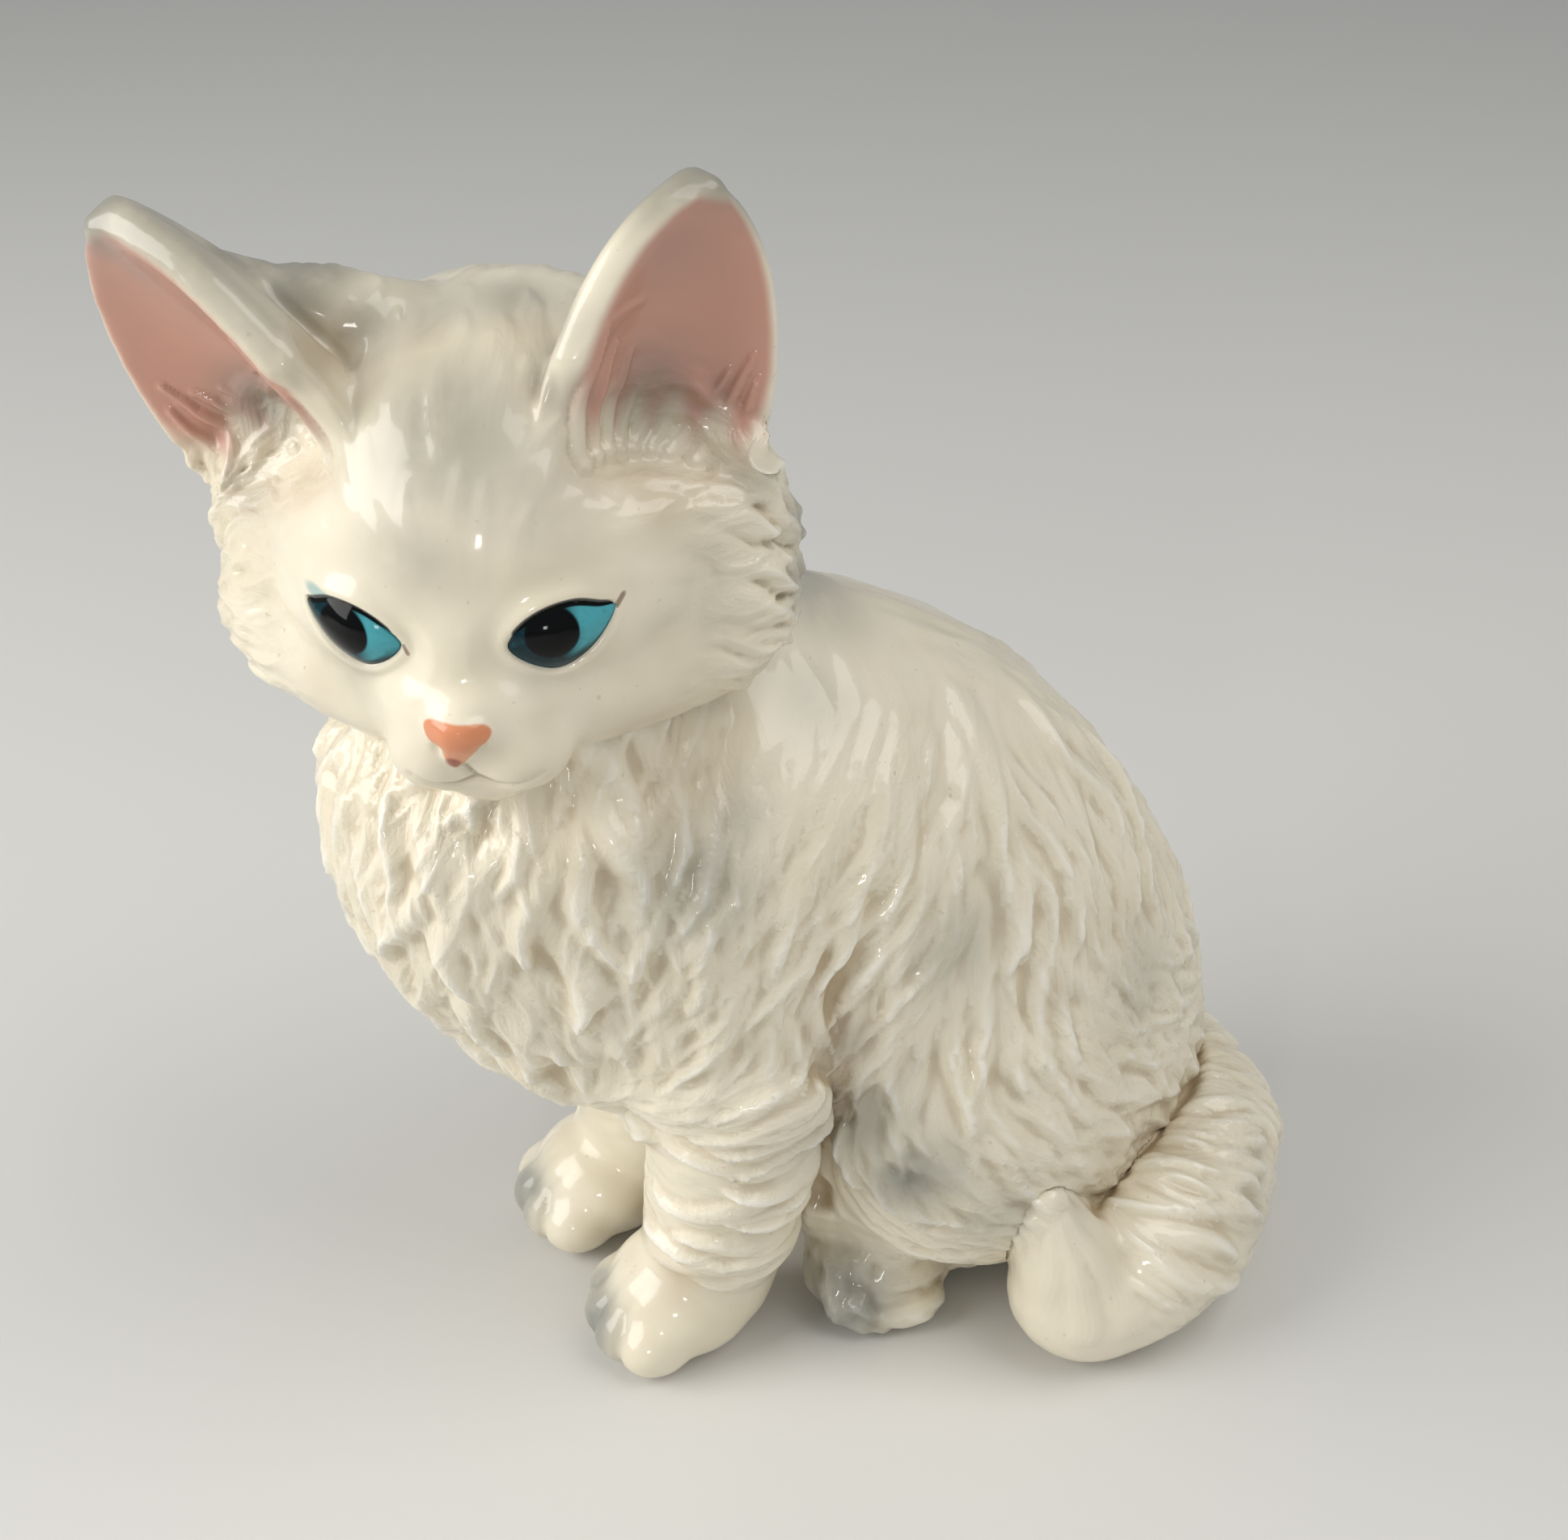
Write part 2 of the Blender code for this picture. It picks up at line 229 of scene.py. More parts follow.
def eye_enamel():
    """Overglaze enamel, fired to a hard gloss: a turquoise iris, painted dark teal on the same side of both
    eyes as painted shade, with a black pupil and rim."""
    material = bpy.data.materials.new("eye_enamel")
    material.use_nodes = True
    tree = material.node_tree
    shader = tree.nodes["Principled BSDF"]
    place = add_node(tree, "ShaderNodeTexCoord").outputs["Object"]
    gaze_x, gaze_z, lid = [
        add_node(tree, "ShaderNodeAttribute", {"attribute_name": name}).outputs["Fac"]
        for name in ("gaze_x", "gaze_z", "lid")
    ]
    apart = add_node(tree, "ShaderNodeCombineXYZ", None, {0: gaze_x, 1: gaze_z}).outputs[0]
    apart = add_node(tree, "ShaderNodeVectorMath", {"operation": "LENGTH"}, {0: apart}).outputs["Value"]
    # brush marks in the iris, 0.8 mm across
    marks = {"Scale": 1 / (0.8 * MM), "Detail": 2.0}
    brushed = add_node(tree, "ShaderNodeTexNoise", marks, {"Vector": place}).outputs["Fac"]
    # how far down on the eye, how near its edge, and how much broader the lash line is above
    low, edge, lash = [
        add_node(
            tree,
            "ShaderNodeMapRange",
            {"interpolation_type": "SMOOTHSTEP", "From Min": start, "From Max": full, "To Max": most},
            {"Value": source},
        ).outputs["Result"]
        for source, start, full, most in (
            (gaze_z, -1.0, -3.0, 1.0),
            (lid, 1.2, 0.6, 1.0),
            (gaze_z, -0.4, 1.2, 0.35),
        )
    ]
    low_rim = add_node(tree, "ShaderNodeMath", {"operation": "MULTIPLY"}, {0: low, 1: edge}).outputs[0]
    lash_line = add_node(tree, "ShaderNodeMath", {"operation": "SUBTRACT"}, {0: lid, 1: lash}).outputs[0]
    # the iris is dark teal all over and turquoise only on the +x side of the pupil: the dark side is painted
    # shade
    base = add_node(tree, "ShaderNodeRGB")
    base.outputs[0].default_value = hex_colour("#0C2A31")
    colour = paint_over(tree, base.outputs[0], gaze_x, 0.6, 2.6, "#4FA3AE")
    colour = paint_over(tree, colour, brushed, 0.5, 0.8, "#1F6470", 0.35)
    colour = paint_over(tree, colour, low_rim, 0, 1, "#0E3640", 1.0, "LINEAR")
    colour = paint_over(tree, colour, lid, 0.5, 0.2, "#0E3640", 0.8)
    colour = paint_over(tree, colour, apart, 2.45, 2.2, "#050607")
    colour = paint_over(tree, colour, lash_line, 0.14, 0.02, "#07090A")
    tree.links.new(colour, shader.inputs["Base Color"])
    shader.inputs["Roughness"].default_value = 0.08
    shader.inputs["IOR"].default_value = 1.5
    shader.inputs["Specular IOR Level"].default_value = 0.15
    shader.inputs["Coat Weight"].default_value = 0.06
    shader.inputs["Coat Roughness"].default_value = 0.03
    return material


# ---------------------------------------------------------------- clay forms

def spline(stations, steps=8):
    """Points of a Catmull-Rom curve through stations of any number of values each."""
    ends = [stations[0], *stations, stations[-1]]
    for a, b, c, d in zip(ends, ends[1:], ends[2:], ends[3:]):
        for step in range(steps):
            t = step / steps
            weights = (-t + 2 * t**2 - t**3, 2 - 5 * t**2 + 3 * t**3, t + 4 * t**2 - 3 * t**3, t**3 - t**2)
            yield [sum(w * v for w, v in zip(weights, values)) / 2 for values in zip(a, b, c, d)]
    yield list(stations[-1])


def start_lump(name):
    bpy.ops.object.select_all(action="DESELECT")
    bpy.ops.object.add(type="MESH")
    lump = bpy.context.object
    lump.name = name
    bpy.ops.object.mode_set(mode="EDIT")
    return lump


def add_ball(centre, radii, turn=(0, 0, 0), fine=4):
    bpy.ops.mesh.primitive_ico_sphere_add(
        subdivisions=fine,
        radius=1,
        location=[v * MM for v in centre],
        rotation=[math.radians(v) for v in turn],
        scale=[v * MM for v in radii],
    )


def add_roll(stations, steps=8):
    """A roll of clay: stations of (x, y, z, radius), or of (x, y, z) and three radii."""
    for x, y, z, *radii in spline(stations, steps):
        add_ball((x, y, z), radii * 3 if len(radii) == 1 else radii, fine=3)


def rub(lump, grain, rubbing):
    """One skin over the lumps, rubbed smooth."""
    bpy.ops.object.mode_set(mode="OBJECT")
    bpy.context.view_layer.objects.active = lump
    remesh = lump.modifiers.new("One skin", "REMESH")
    remesh.mode = "VOXEL"
    remesh.voxel_size = grain * MM
    bpy.ops.object.modifier_apply(modifier=remesh.name)
    smooth = lump.modifiers.new("Rubbed", "SMOOTH")
    smooth.factor = 0.5
    smooth.iterations = rubbing
    bpy.ops.object.modifier_apply(modifier=smooth.name)
    return lump


def join(name, lumps):
    bpy.ops.object.select_all(action="DESELECT")
    for lump in lumps:
        lump.select_set(True)
    bpy.context.view_layer.objects.active = lumps[0]
    bpy.ops.object.join()
    lumps[0].name = name
    return lumps[0]


# ---------------------------------------------------------------- the carving tool

def fetch(items, field, width=1, kind=np.float32):
    """One field of every item of a mesh, a row for each."""
    values = np.empty(len(items) * width, dtype=kind)
    items.foreach_get(field, values)
    return values if width == 1 else values.reshape(-1, width)


def tag(piece, name, values):
    """A value kept on each point, for the paint to follow."""
    attribute = piece.data.attributes.new(name, "FLOAT", "POINT")
    attribute.data.foreach_set("value", values.astype(np.float32))


class Skin:
    """A lump's surface as arrays of millimetres, with the carving gathered before it is pressed in."""

    def __init__(self, piece):
        self.piece = piece
        self.refresh()
        self.edges = fetch(piece.data.edges, "vertices", 2, np.int32)
        self.links = np.bincount(self.edges.ravel(), minlength=len(self.points))[:, None]
        self.relief = np.zeros(len(self.points))
        self.groove = np.zeros(len(self.points))
        self.across = np.zeros(len(self.points))

    def refresh(self):
        mesh = self.piece.data
        self.points = fetch(mesh.vertices, "co", 3).astype(float) / MM
        self.normals = fetch(mesh.vertex_normals, "vector", 3).astype(float)
        self.tree = KDTree(len(self.points))
        for index, point in enumerate(self.points):
            self.tree.insert(point, index)
        self.tree.balance()
        keys = self.cells(self.points)
        self.order = np.argsort(keys, kind="stable")
        found, starts = np.unique(keys[self.order], return_index=True)
        ends = np.append(starts[1:], len(keys))
        self.lookup = {key: (a, b) for key, a, b in zip(found.tolist(), starts.tolist(), ends.tolist())}

    def cells(self, points):
        keys = np.floor(points / CELL).astype(np.int64) + 500
        return keys[:, 0] * 1_000_000 + keys[:, 1] * 1_000 + keys[:, 2]

    def nearest(self, spots):
        return np.array([self.tree.find(spot)[1] for spot in spots])

    def around(self, line, reach):
        """Indices of the points within reach of a line, and some more."""
        steps = np.arange(-math.ceil(reach / CELL), math.ceil(reach / CELL) + 1) * CELL
        offsets = np.array([(x, y, z) for x in steps for y in steps for z in steps])
        spots = (line[:, None, :] + offsets[None]).reshape(-1, 3)
        spans = [self.lookup[key] for key in np.unique(self.cells(spots)).tolist() if key in self.lookup]
        if not spans:
            return np.empty(0, dtype=int)
        return np.concatenate([self.order[a:b] for a, b in spans])

    def soften(self, values, times, pull=1.0):
        """Values drawn towards their neighbours' mean, again and again."""
        flat = values.ndim == 1
        values = values[:, None] if flat else values
        a, b = self.edges.T
        for _ in range(times):
            total = np.stack([
                np.bincount(a, weights=column[b], minlength=len(column))
                + np.bincount(b, weights=column[a], minlength=len(column))
                for column in values.T
            ], axis=1)
            values = values * (1 - pull) + pull * total / np.maximum(self.links, 1)
        return values[:, 0] if flat else values

    def border(self, member, times):
        """A soft band along the edge of some part of the skin."""
        inside = self.soften(member.astype(float), times)
        return np.clip(4 * inside * (1 - inside), 0, 1) ** 2

    def castings(self, owner, count, times):
        """Whose clay each point is, with the borders rubbed smooth."""
        shares = np.stack([(owner == number).astype(float) for number in range(count)], axis=1)
        return self.soften(shares, times, 0.5).argmax(1)

    def write(self):
        self.piece.data.vertices.foreach_set("co", (self.points * MM).astype(np.float32).ravel())
        self.piece.data.update()

    def press(self, cut_back):
        """Push the gathered relief into the clay, and keep where the hollows are."""
        self.uncarved = self.points
        self.hollow = self.soften(self.relief, 10) - self.relief + 0.6 * np.clip(-self.groove, 0, 1)
        self.points = self.points + self.normals * (self.relief - cut_back + self.groove)[:, None]
        moved = np.abs(self.relief) + np.abs(self.groove) > 0.02
        soft = self.soften(self.points, 1, 0.5)
        self.points[moved] = soft[moved]


def stroke(skin, line, widths, heights, groove=False, edge=0.6):
    """One tapered ridge or groove along a line of points on the skin."""
    middles = skin.normals[skin.nearest(line)]
    chosen = skin.around(line, widths.max())
    if not len(chosen):
        return
    best = np.full(len(chosen), FAR)
    lateral, width, height = np.zeros((3, len(chosen)))
    spots, facing = skin.points[chosen], skin.normals[chosen]
    for k in range(len(line) - 1):
        along = line[k + 1] - line[k]
        reach = along @ along + 1e-9
        t = np.clip((spots - line[k]) @ along / reach, 0, 1)
        gap = spots - line[k] - t[:, None] * along
        up = middles[k]
        rise = gap @ up
        gap = gap - rise[:, None] * up
        apart = np.sqrt((gap * gap).sum(1))
        score = apart + 0.3 * np.abs(rise)
        closer = (score < best) & (facing @ up > 0.15) & (np.abs(rise) < 4)
        best[closer] = score[closer]
        side = np.sign(gap @ np.cross(up, along))
        lateral[closer] = (side * apart)[closer]
        width[closer] = (widths[k] + (widths[k + 1] - widths[k]) * t)[closer]
        height[closer] = (heights[k] + (heights[k + 1] - heights[k]) * t)[closer]
    q = lateral / np.maximum(width, 1e-6)
    inside = (best < FAR) & (np.abs(q) < 1)
    chosen, q, height, lateral = chosen[inside], q[inside], height[inside], lateral[inside]
    lift = height * (1 - q * q) ** edge
    if groove:
        skin.groove[chosen] = np.minimum(skin.groove[chosen], -lift)
    else:
        higher = lift > skin.relief[chosen]
        skin.relief[chosen[higher]] = lift[higher]
        skin.across[chosen[higher]] = lateral[higher]


def draw_line(skin, stations, widths, heights, groove=False, edge=0.6):
    """A ridge or groove along stations laid on the skin, its width and height changing evenly on the way."""
    line = skin.points[skin.nearest(stations)]
    stroke(skin, line, np.linspace(*widths, len(line)), np.linspace(*heights, len(line)), groove, edge)


def combing(skin, strokes, spread, mirrored):
    """Which way the hair lies at each point, from a few strokes of a comb."""
    flow = np.zeros_like(skin.points)
    for mirror in (1, -1) if mirrored else (1,):
        for line in strokes:
            line = np.array(line, dtype=float) * (mirror, 1, 1)
            for a, b in zip(line, line[1:]):
                way = (b - a) / np.linalg.norm(b - a)
                apart = ((skin.points - (a + b) / 2) ** 2).sum(1)
                flow += np.exp(-apart / (2 * spread**2))[:, None] * way
                flow += 1e-6 * way / (1 + apart[:, None])
    flow -= (flow * skin.normals).sum(1)[:, None] * skin.normals
    return flow / np.maximum(np.linalg.norm(flow, axis=1), 1e-12)[:, None]


def comb_locks(skin, flow, where, spacing, length, width, height, sway, edge=0.8):
    """Pointed locks laid over part of the skin, each along the way its hair lies. They start about a spacing
    apart, wave from side to side by their sway, in radians, and a lower edge gives them fuller backs."""
    candidates = np.flatnonzero(where)
    if not len(candidates):
        return
    rng.shuffle(candidates)
    cells = np.floor(skin.points[candidates] / spacing).astype(np.int64)
    _, first = np.unique(cells, axis=0, return_index=True)
    seeds = candidates[np.sort(first)]
    lengths = rng.uniform(0.75, 1.25, len(seeds)) * length
    phases = rng.uniform(0, 2 * math.pi, len(seeds))
    lifts = rng.uniform(0.7, 1.3, len(seeds)) * (height if np.isscalar(height) else height[seeds])
    girths = rng.uniform(0.8, 1.2, len(seeds)) * width
    steps = 9  # along each lock
    spots = skin.points[seeds].copy()
    lines = []
    for k in range(steps):
        index = skin.nearest(spots)
        up, way = skin.normals[index], flow[index]
        spots = spots - ((spots - skin.points[index]) * up).sum(1)[:, None] * up
        lines.append(spots.copy())
        turn = sway * np.sin(phases + k / steps * 2 * math.pi)[:, None]
        way = way * np.cos(turn) + np.cross(up, way) * np.sin(turn)
        spots = spots + way * (lengths / (steps - 1))[:, None]
    lines = np.array(lines)
    s = np.linspace(0, 1, steps)
    leaf = np.minimum(1, 0.35 + 2.2 * s) * np.clip(1 - s**3, 0, 1) ** 0.8
    rise = 0.25 + 0.75 * s * s * (3 - 2 * s)
    rise[0] = 0.0
    for k in range(len(seeds)):
        stroke(skin, lines[:, k], np.maximum(girths[k] * leaf, 0.15), lifts[k] * rise, edge=edge)


def blobs(skin, spots):
    """Soft patches of colour: (x, y, z, radius, strength)."""
    total = np.zeros(len(skin.points))
    for x, y, z, radius, strength in spots:
        apart = ((skin.points - (x, y, z)) ** 2).sum(1)
        total = np.maximum(total, strength * np.exp(-apart / radius**2))
    return total


def line_distance(flat, line):
    """Millimetres from each point to a line of straight stretches, seen flat."""
    best = np.full(len(flat), FAR)
    line = np.array(line, dtype=float)
    for a, b in zip(line, line[1:]):
        along = b - a
        t = np.clip((flat - a) @ along / (along @ along + 1e-12), 0, 1)
        best = np.minimum(best, np.linalg.norm(flat - a - t[:, None] * along, axis=1))
    return best


def loop_distance(flat, loop):
    """Millimetres inside (+) or outside (-) a closed outline drawn through the loop's points, seen flat."""
    loop = np.array(list(spline([loop[-1], *loop, loop[0], loop[1]], 6)))[6:-6]
    inside = np.zeros(len(flat), dtype=bool)
    for a, b in zip(loop, np.roll(loop, -1, axis=0)):
        crosses = (a[1] > flat[:, 1]) != (b[1] > flat[:, 1])
        with np.errstate(divide="ignore", invalid="ignore"):
            inside ^= crosses & (flat[:, 0] < (b[0] - a[0]) * (flat[:, 1] - a[1]) / (b[1] - a[1]) + a[0])
    apart = line_distance(flat, [*loop, loop[0]])
    return np.where(inside, apart, -apart)


def smooth_step(values):
    values = np.clip(values, 0, 1)
    return values * values * (3 - 2 * values)


def owners(points_in_row, names):
    """Whose clay each point is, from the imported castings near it."""
    best = np.full(len(points_in_row), FAR)
    owner = np.zeros(len(points_in_row), dtype=int)
    for number, name in enumerate(names):
        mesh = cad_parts[name].data
        mesh.calc_loop_triangles()
        tree = BVHTree.FromPolygons(
            [v.co[:] for v in mesh.vertices], [t.vertices[:] for t in mesh.loop_triangles]
        )
        low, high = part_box(name)
        near = ((points_in_row > np.array(low) - 4 * MM) & (points_in_row < np.array(high) + 4 * MM)).all(1)
        for index in np.flatnonzero(near):
            apart = tree.find_nearest(points_in_row[index])[3]
            if apart is not None and apart < best[index]:
                best[index], owner[index] = apart, number
    return owner


# ---------------------------------------------------------------- the forms

def torso():
    lump = start_lump("torso")
    add_roll([
        (0, 37.5, 24, 24, 31, 26.5),
        (0, 34.5, 37, 24, 31, 27),
        (0, 26, 52, 25, 31, 30),
        (0, 12, 64, 24, 28, 29),
        (0, -2, 70, 23, 24, 22),
    ])
    add_roll([
        (0, 0, 52, 18, 18, 17),
        (0, -6, 60, 21, 22, 18),
        (0, -11, 70, 22, 22, 16),
        (0, -12, 78, 22, 21, 10),
    ])
    add_roll([(1, -9, 78.2, 18, 19, 12), (1, -10, 96.2, 17, 18, 12)])
    add_ball((-1, 4, 87), (14, 15, 12))
    for side in (-1, 1):
        add_roll([
            (side * 14, 30, 36, 14, 18, 18),
            (side * 14, 34.5, 27, 14, 20, 18.5),
            (side * 9, 40, 15.5, 11, 18, 13),
        ])
        add_roll([(side * 15, 2, 66, 10, 16, 16), (side * 15, 4, 52, 9.5, 13, 16)])
    return rub(lump, 1.3, 14)


def add_toes(centre, reach, turn, spread=1.0):
    """Four toes in a row across a paw, the two outer ones set back."""
    spin = Matrix.Rotation(math.radians(turn), 3, "Z")
    toes = ((-5.3, -0.74, 3.7), (-1.9, -0.95, 4.0), (1.9, -0.95, 4.0), (5.3, -0.74, 3.7))
    for across, along, radius in toes:
        spot = Vector(centre) + spin @ Vector((across * spread, along * reach, 0))
        add_ball((spot.x, spot.y, 4.3), (radius, radius + 1, radius + 0.3), (0, 0, turn))


# Where each paw stands, x and y, and how far it is turned outward
FORE_PAWS = {1: (8.4, -1.0, 0), -1: (-13.6, -2.8, 0)}
HIND_PAWS = {1: (9, 24, 50), -1: (-9, 24, -50)}


def foreleg(side):
    lump = start_lump("foreleg")
    x, y, _ = FORE_PAWS[side]
    add_roll([
        (side * 13.5, 5, 46, 11),
        (-1.3 + side * 13, 4.5, 30, 9.5),
        (x, 3.5, 14, 8.6),
        (x, 2.5, 8.6, 8),
    ])
    add_ball((x, y + 0.3, 6.6), (8.9, 9.0, 7.4))
    add_toes((x, y, 0), 6.6, 0)
    return rub(lump, 0.8, 5)


def hind_paw(side):
    lump = start_lump("hind_paw")
    x, y, turn = HIND_PAWS[side]
    add_ball((x, y, 6.8), (8.8, 11.4, 7.6), (0, 0, turn))
    add_toes((x, y, 6.8), 7.0, turn, 0.78)
    return rub(lump, 0.8, 14)


def brush():
    lump = start_lump("brush")
    add_roll([
        (2, 65, 11, 10),
        (14, 63.5, 10.6, 10.5),
        (23, 56, 10.5, 10.5),
        (27.5, 47, 10, 10),
        (28.5, 41.2, 8.8, 8.7),
        (28.8, 39.4, 12.5, 7.2),
        (29, 37.8, 16.6, 5.7),
        (29.2, 36.5, 20.2, 3.9),
        (29.3, 35.6, 23.4, 2.3),
        (29.4, 34.9, 26, 0.8),
    ])
    return rub(lump, 0.7, 3)


class Ear:
    """One ear's own frame: a cupped leaf from root to tip, its edges turned outward."""

    def __init__(self, side):
        self.side = side
        left = side > 0
        self.tip = Vector((22.9, 1.2, 31.8) if left else (-29.8, -1.2, 30.8))
        self.root = Vector((15.4, -3.4, 9.5) if left else (-16.0, -1.5, 9.0))
        turn = math.radians(34 if left else 36)
        self.half_width = 10.6 if left else 12.4
        self.cup = 6.5 if left else 8.5
        self.axis = self.tip - self.root
        outward = Vector((side * math.sin(turn), -math.cos(turn), 0))
        self.across = self.axis.cross(outward).normalized()
        self.outward = self.across.cross(self.axis).normalized()

    def place(self, out, up, width=1.0):
        taper = max(1 - max(up, 0) ** 2.5, 0) ** 0.62
        curl = self.cup * (1 - max(up, 0)) ** 0.55 * taper
        return (
            self.root
            + self.axis * up
            + self.across * out * self.half_width * taper * width
            + self.outward * curl * (out * out - 0.55)
        )

    def sheet(self, low, width, name):
        bpy.ops.object.select_all(action="DESELECT")
        bpy.ops.mesh.primitive_grid_add(x_subdivisions=18, y_subdivisions=28, size=2, location=(0, 0, 0))
        leaf = bpy.context.object
        leaf.name = name
        for vert in leaf.data.vertices:
            out, up = vert.co.x, low + (1 - low) * (vert.co.y + 1) / 2
            vert.co = self.place(out, up, width) * MM
        bpy.ops.object.mode_set(mode="EDIT")
        bpy.ops.mesh.select_all(action="SELECT")
        bpy.ops.mesh.remove_doubles(threshold=0.0001)
        return leaf

    def shell(self):
        leaf = self.sheet(-0.12, 1.0, "ear")
        bpy.ops.mesh.normals_make_consistent(inside=False)
        bpy.ops.object.mode_set(mode="OBJECT")
        wall = leaf.modifiers.new("Wall", "SOLIDIFY")
        wall.thickness = 2.8 * MM
        wall.offset = 0
        bpy.ops.object.modifier_apply(modifier=wall.name)
        # the inner edge is rolled over, and the roll runs down into the brow
        bpy.ops.object.mode_set(mode="EDIT")
        inner = -self.side
        for step in range(47):
            up = -0.04 + step * 0.0222
            spot = self.place(inner * 0.96, up) - self.outward * 0.9
            add_ball(spot, [(2.0 - 0.9 * max(up, 0)) * min(1, 0.45 + 3 * (up + 0.04))] * 3, fine=2)
            for out, behind, girth in ((0.78, 1.4, 2.6), (0.45, 2.0, 3.0), (0.1, 1.6, 2.4)):
                spot = self.place(inner * out, up) - self.outward * behind
                add_ball(spot, [girth * (1 - 0.55 * max(up, 0))] * 3, fine=2)
        add_ball(self.place(0, 0.975), [1.5] * 3, fine=2)
        return rub(leaf, 0.6, 8)

    def scoop(self):
        """What is cut out of the skull for the cup."""
        leaf = self.sheet(-0.06, 0.9, "scoop")
        bpy.ops.mesh.extrude_region_move(
            TRANSFORM_OT_translate={"value": self.outward * 22 * MM}
        )
        bpy.ops.mesh.select_all(action="SELECT")
        bpy.ops.mesh.normals_make_consistent(inside=False)
        bpy.ops.object.mode_set(mode="OBJECT")
        return leaf

    def read(self, points):
        """Each point's place along the ear, across it from inner (-1) to outer (+1), and in front of it."""
        rel = points - np.array(self.root)
        up = rel @ np.array(self.axis) / self.axis.length_squared
        out = rel @ np.array(self.across) * self.side
        taper = np.clip(1 - np.clip(up, 0, 1) ** 2.5, 1e-4, 1) ** 0.62
        depth = rel @ np.array(self.outward) - self.cup * (1 - np.clip(up, 0, 1)) ** 0.55 * taper * (
            (out / (self.half_width * taper)) ** 2 - 0.55
        )
        return up, out, self.half_width * taper, depth


def skull():
    """The head in its own frame: the face looks along -Y."""
    lump = start_lump("skull")
    add_ball((1.0, 3, 3), (20.8, 22, 18.2))
    add_ball((0.5, -4, 0), (20.5, 15.5, 14))
    for side in (-1, 1):
        add_roll([
            (0.6 + side * 18.6, 1, -3, 8, 9, 11.5),
            (0.5 + side * 17.0, -3, -8.5, 8.6, 8, 8.6),
            (0.6 + side * 8.6, -9.5, -10, 7.6, 7.6, 6.6),
        ])
        add_ball((0.7 + side * 3.5, -18.4, -11.4), (5.1, 4.9, 4.4))
    # the muzzle, the chin, the nose and its bridge
    add_ball((0.6, -13.5, -8), (10, 9.5, 8))
    add_ball((0.9, -16.8, -15.0), (4.8, 4.4, 3.4))
    add_ball((0.3, -21.4, -6.9), (3, 3.2, 2.8))
    add_roll([(0, -12, 5, 7.5, 6, 6), (0, -16, -2, 5.4, 5, 5)])
    # the tufts behind the cheeks, below the ears
    for x, y, z, r in (
        (23.2, -1, 9, 3.7), (23.6, 0, 4.4, 3.2), (21.5, -4.5, 5, 3),
        (22.6, 1.6, -1.6, 3), (20.2, -7, 8.4, 2.8),
        (-22.4, -1.5, 11, 3.6), (-20.6, 0, 7.4, 3), (-20.0, -4.5, 8.6, 2.8),
    ):
        add_ball((x, y, z), (r, r, r), fine=3)
    # the far ear's back runs into the crown in a broad web
    add_roll([
        (-5, 4, 16.6, 5),
        (-9.2, 2.2, 19.6, 4.1),
        (-13.8, 1.5, 21.5, 3.5),
        (-18.6, 1, 23.2, 2.9),
        (-23.5, 0.2, 26.9, 1.9),
        (-26.5, -0.5, 29.4, 1.1),
    ])
    return rub(lump, 1.0, 7)


def neck_in_head_frame():
    lump = start_lump("neck")
    for x, y, z, *radii in spline([(1, -6, 80, 13.5, 14, 10), (1, -9, 96.2, 16, 17, 12)]):
        spot = HEAD_SPIN.T @ (np.array([x, y, z]) - HEAD_CENTRE)
        add_ball(spot, radii, fine=3)
    return rub(lump, 1.0, 4)


def cut(lump, tool):
    """The tool's room is cut out of the lump, and the tool is put away."""
    away = lump.modifiers.new("Cut", "BOOLEAN")
    away.operation = "DIFFERENCE"
    away.solver = "EXACT"
    away.object = tool
    bpy.ops.object.select_all(action="DESELECT")
    bpy.context.view_layer.objects.active = lump
    bpy.ops.object.modifier_apply(modifier=away.name)
    bpy.data.objects.remove(tool)
    return lump


# ---------------------------------------------------------------- the body's coat

# Strokes of the comb, each from where the hair grows to where it points
CHEST = [
    [(9, -29, 82), (8, -31, 70)], [(15, -24, 83), (14.5, -28, 73)],
    [(17, -20, 83), (18, -24, 77), (17, -23, 66), (13, -21, 54)],
    [(18, -15, 84), (21, -15, 76), (21, -16, 69), (21, -11, 61)],
    [(19, -8, 82), (22, -8, 74), (23, -7, 67), (21, -10, 61)],
    [(22, -1, 77), (24, -3, 71), (24, -2, 63), (23, -4, 56)],
    [(15, 8, 87), (20, 7, 81), (22, 3, 76), (24, 0, 72)],
    [(18, -21, 66), (19, -17, 60), (18, -12, 52)], [(16, -25, 67), (13, -26, 62), (11, -23, 54)],
    [(0, -32, 82), (0, -34, 68), (0, -26, 54), (0, -14, 46)],
]
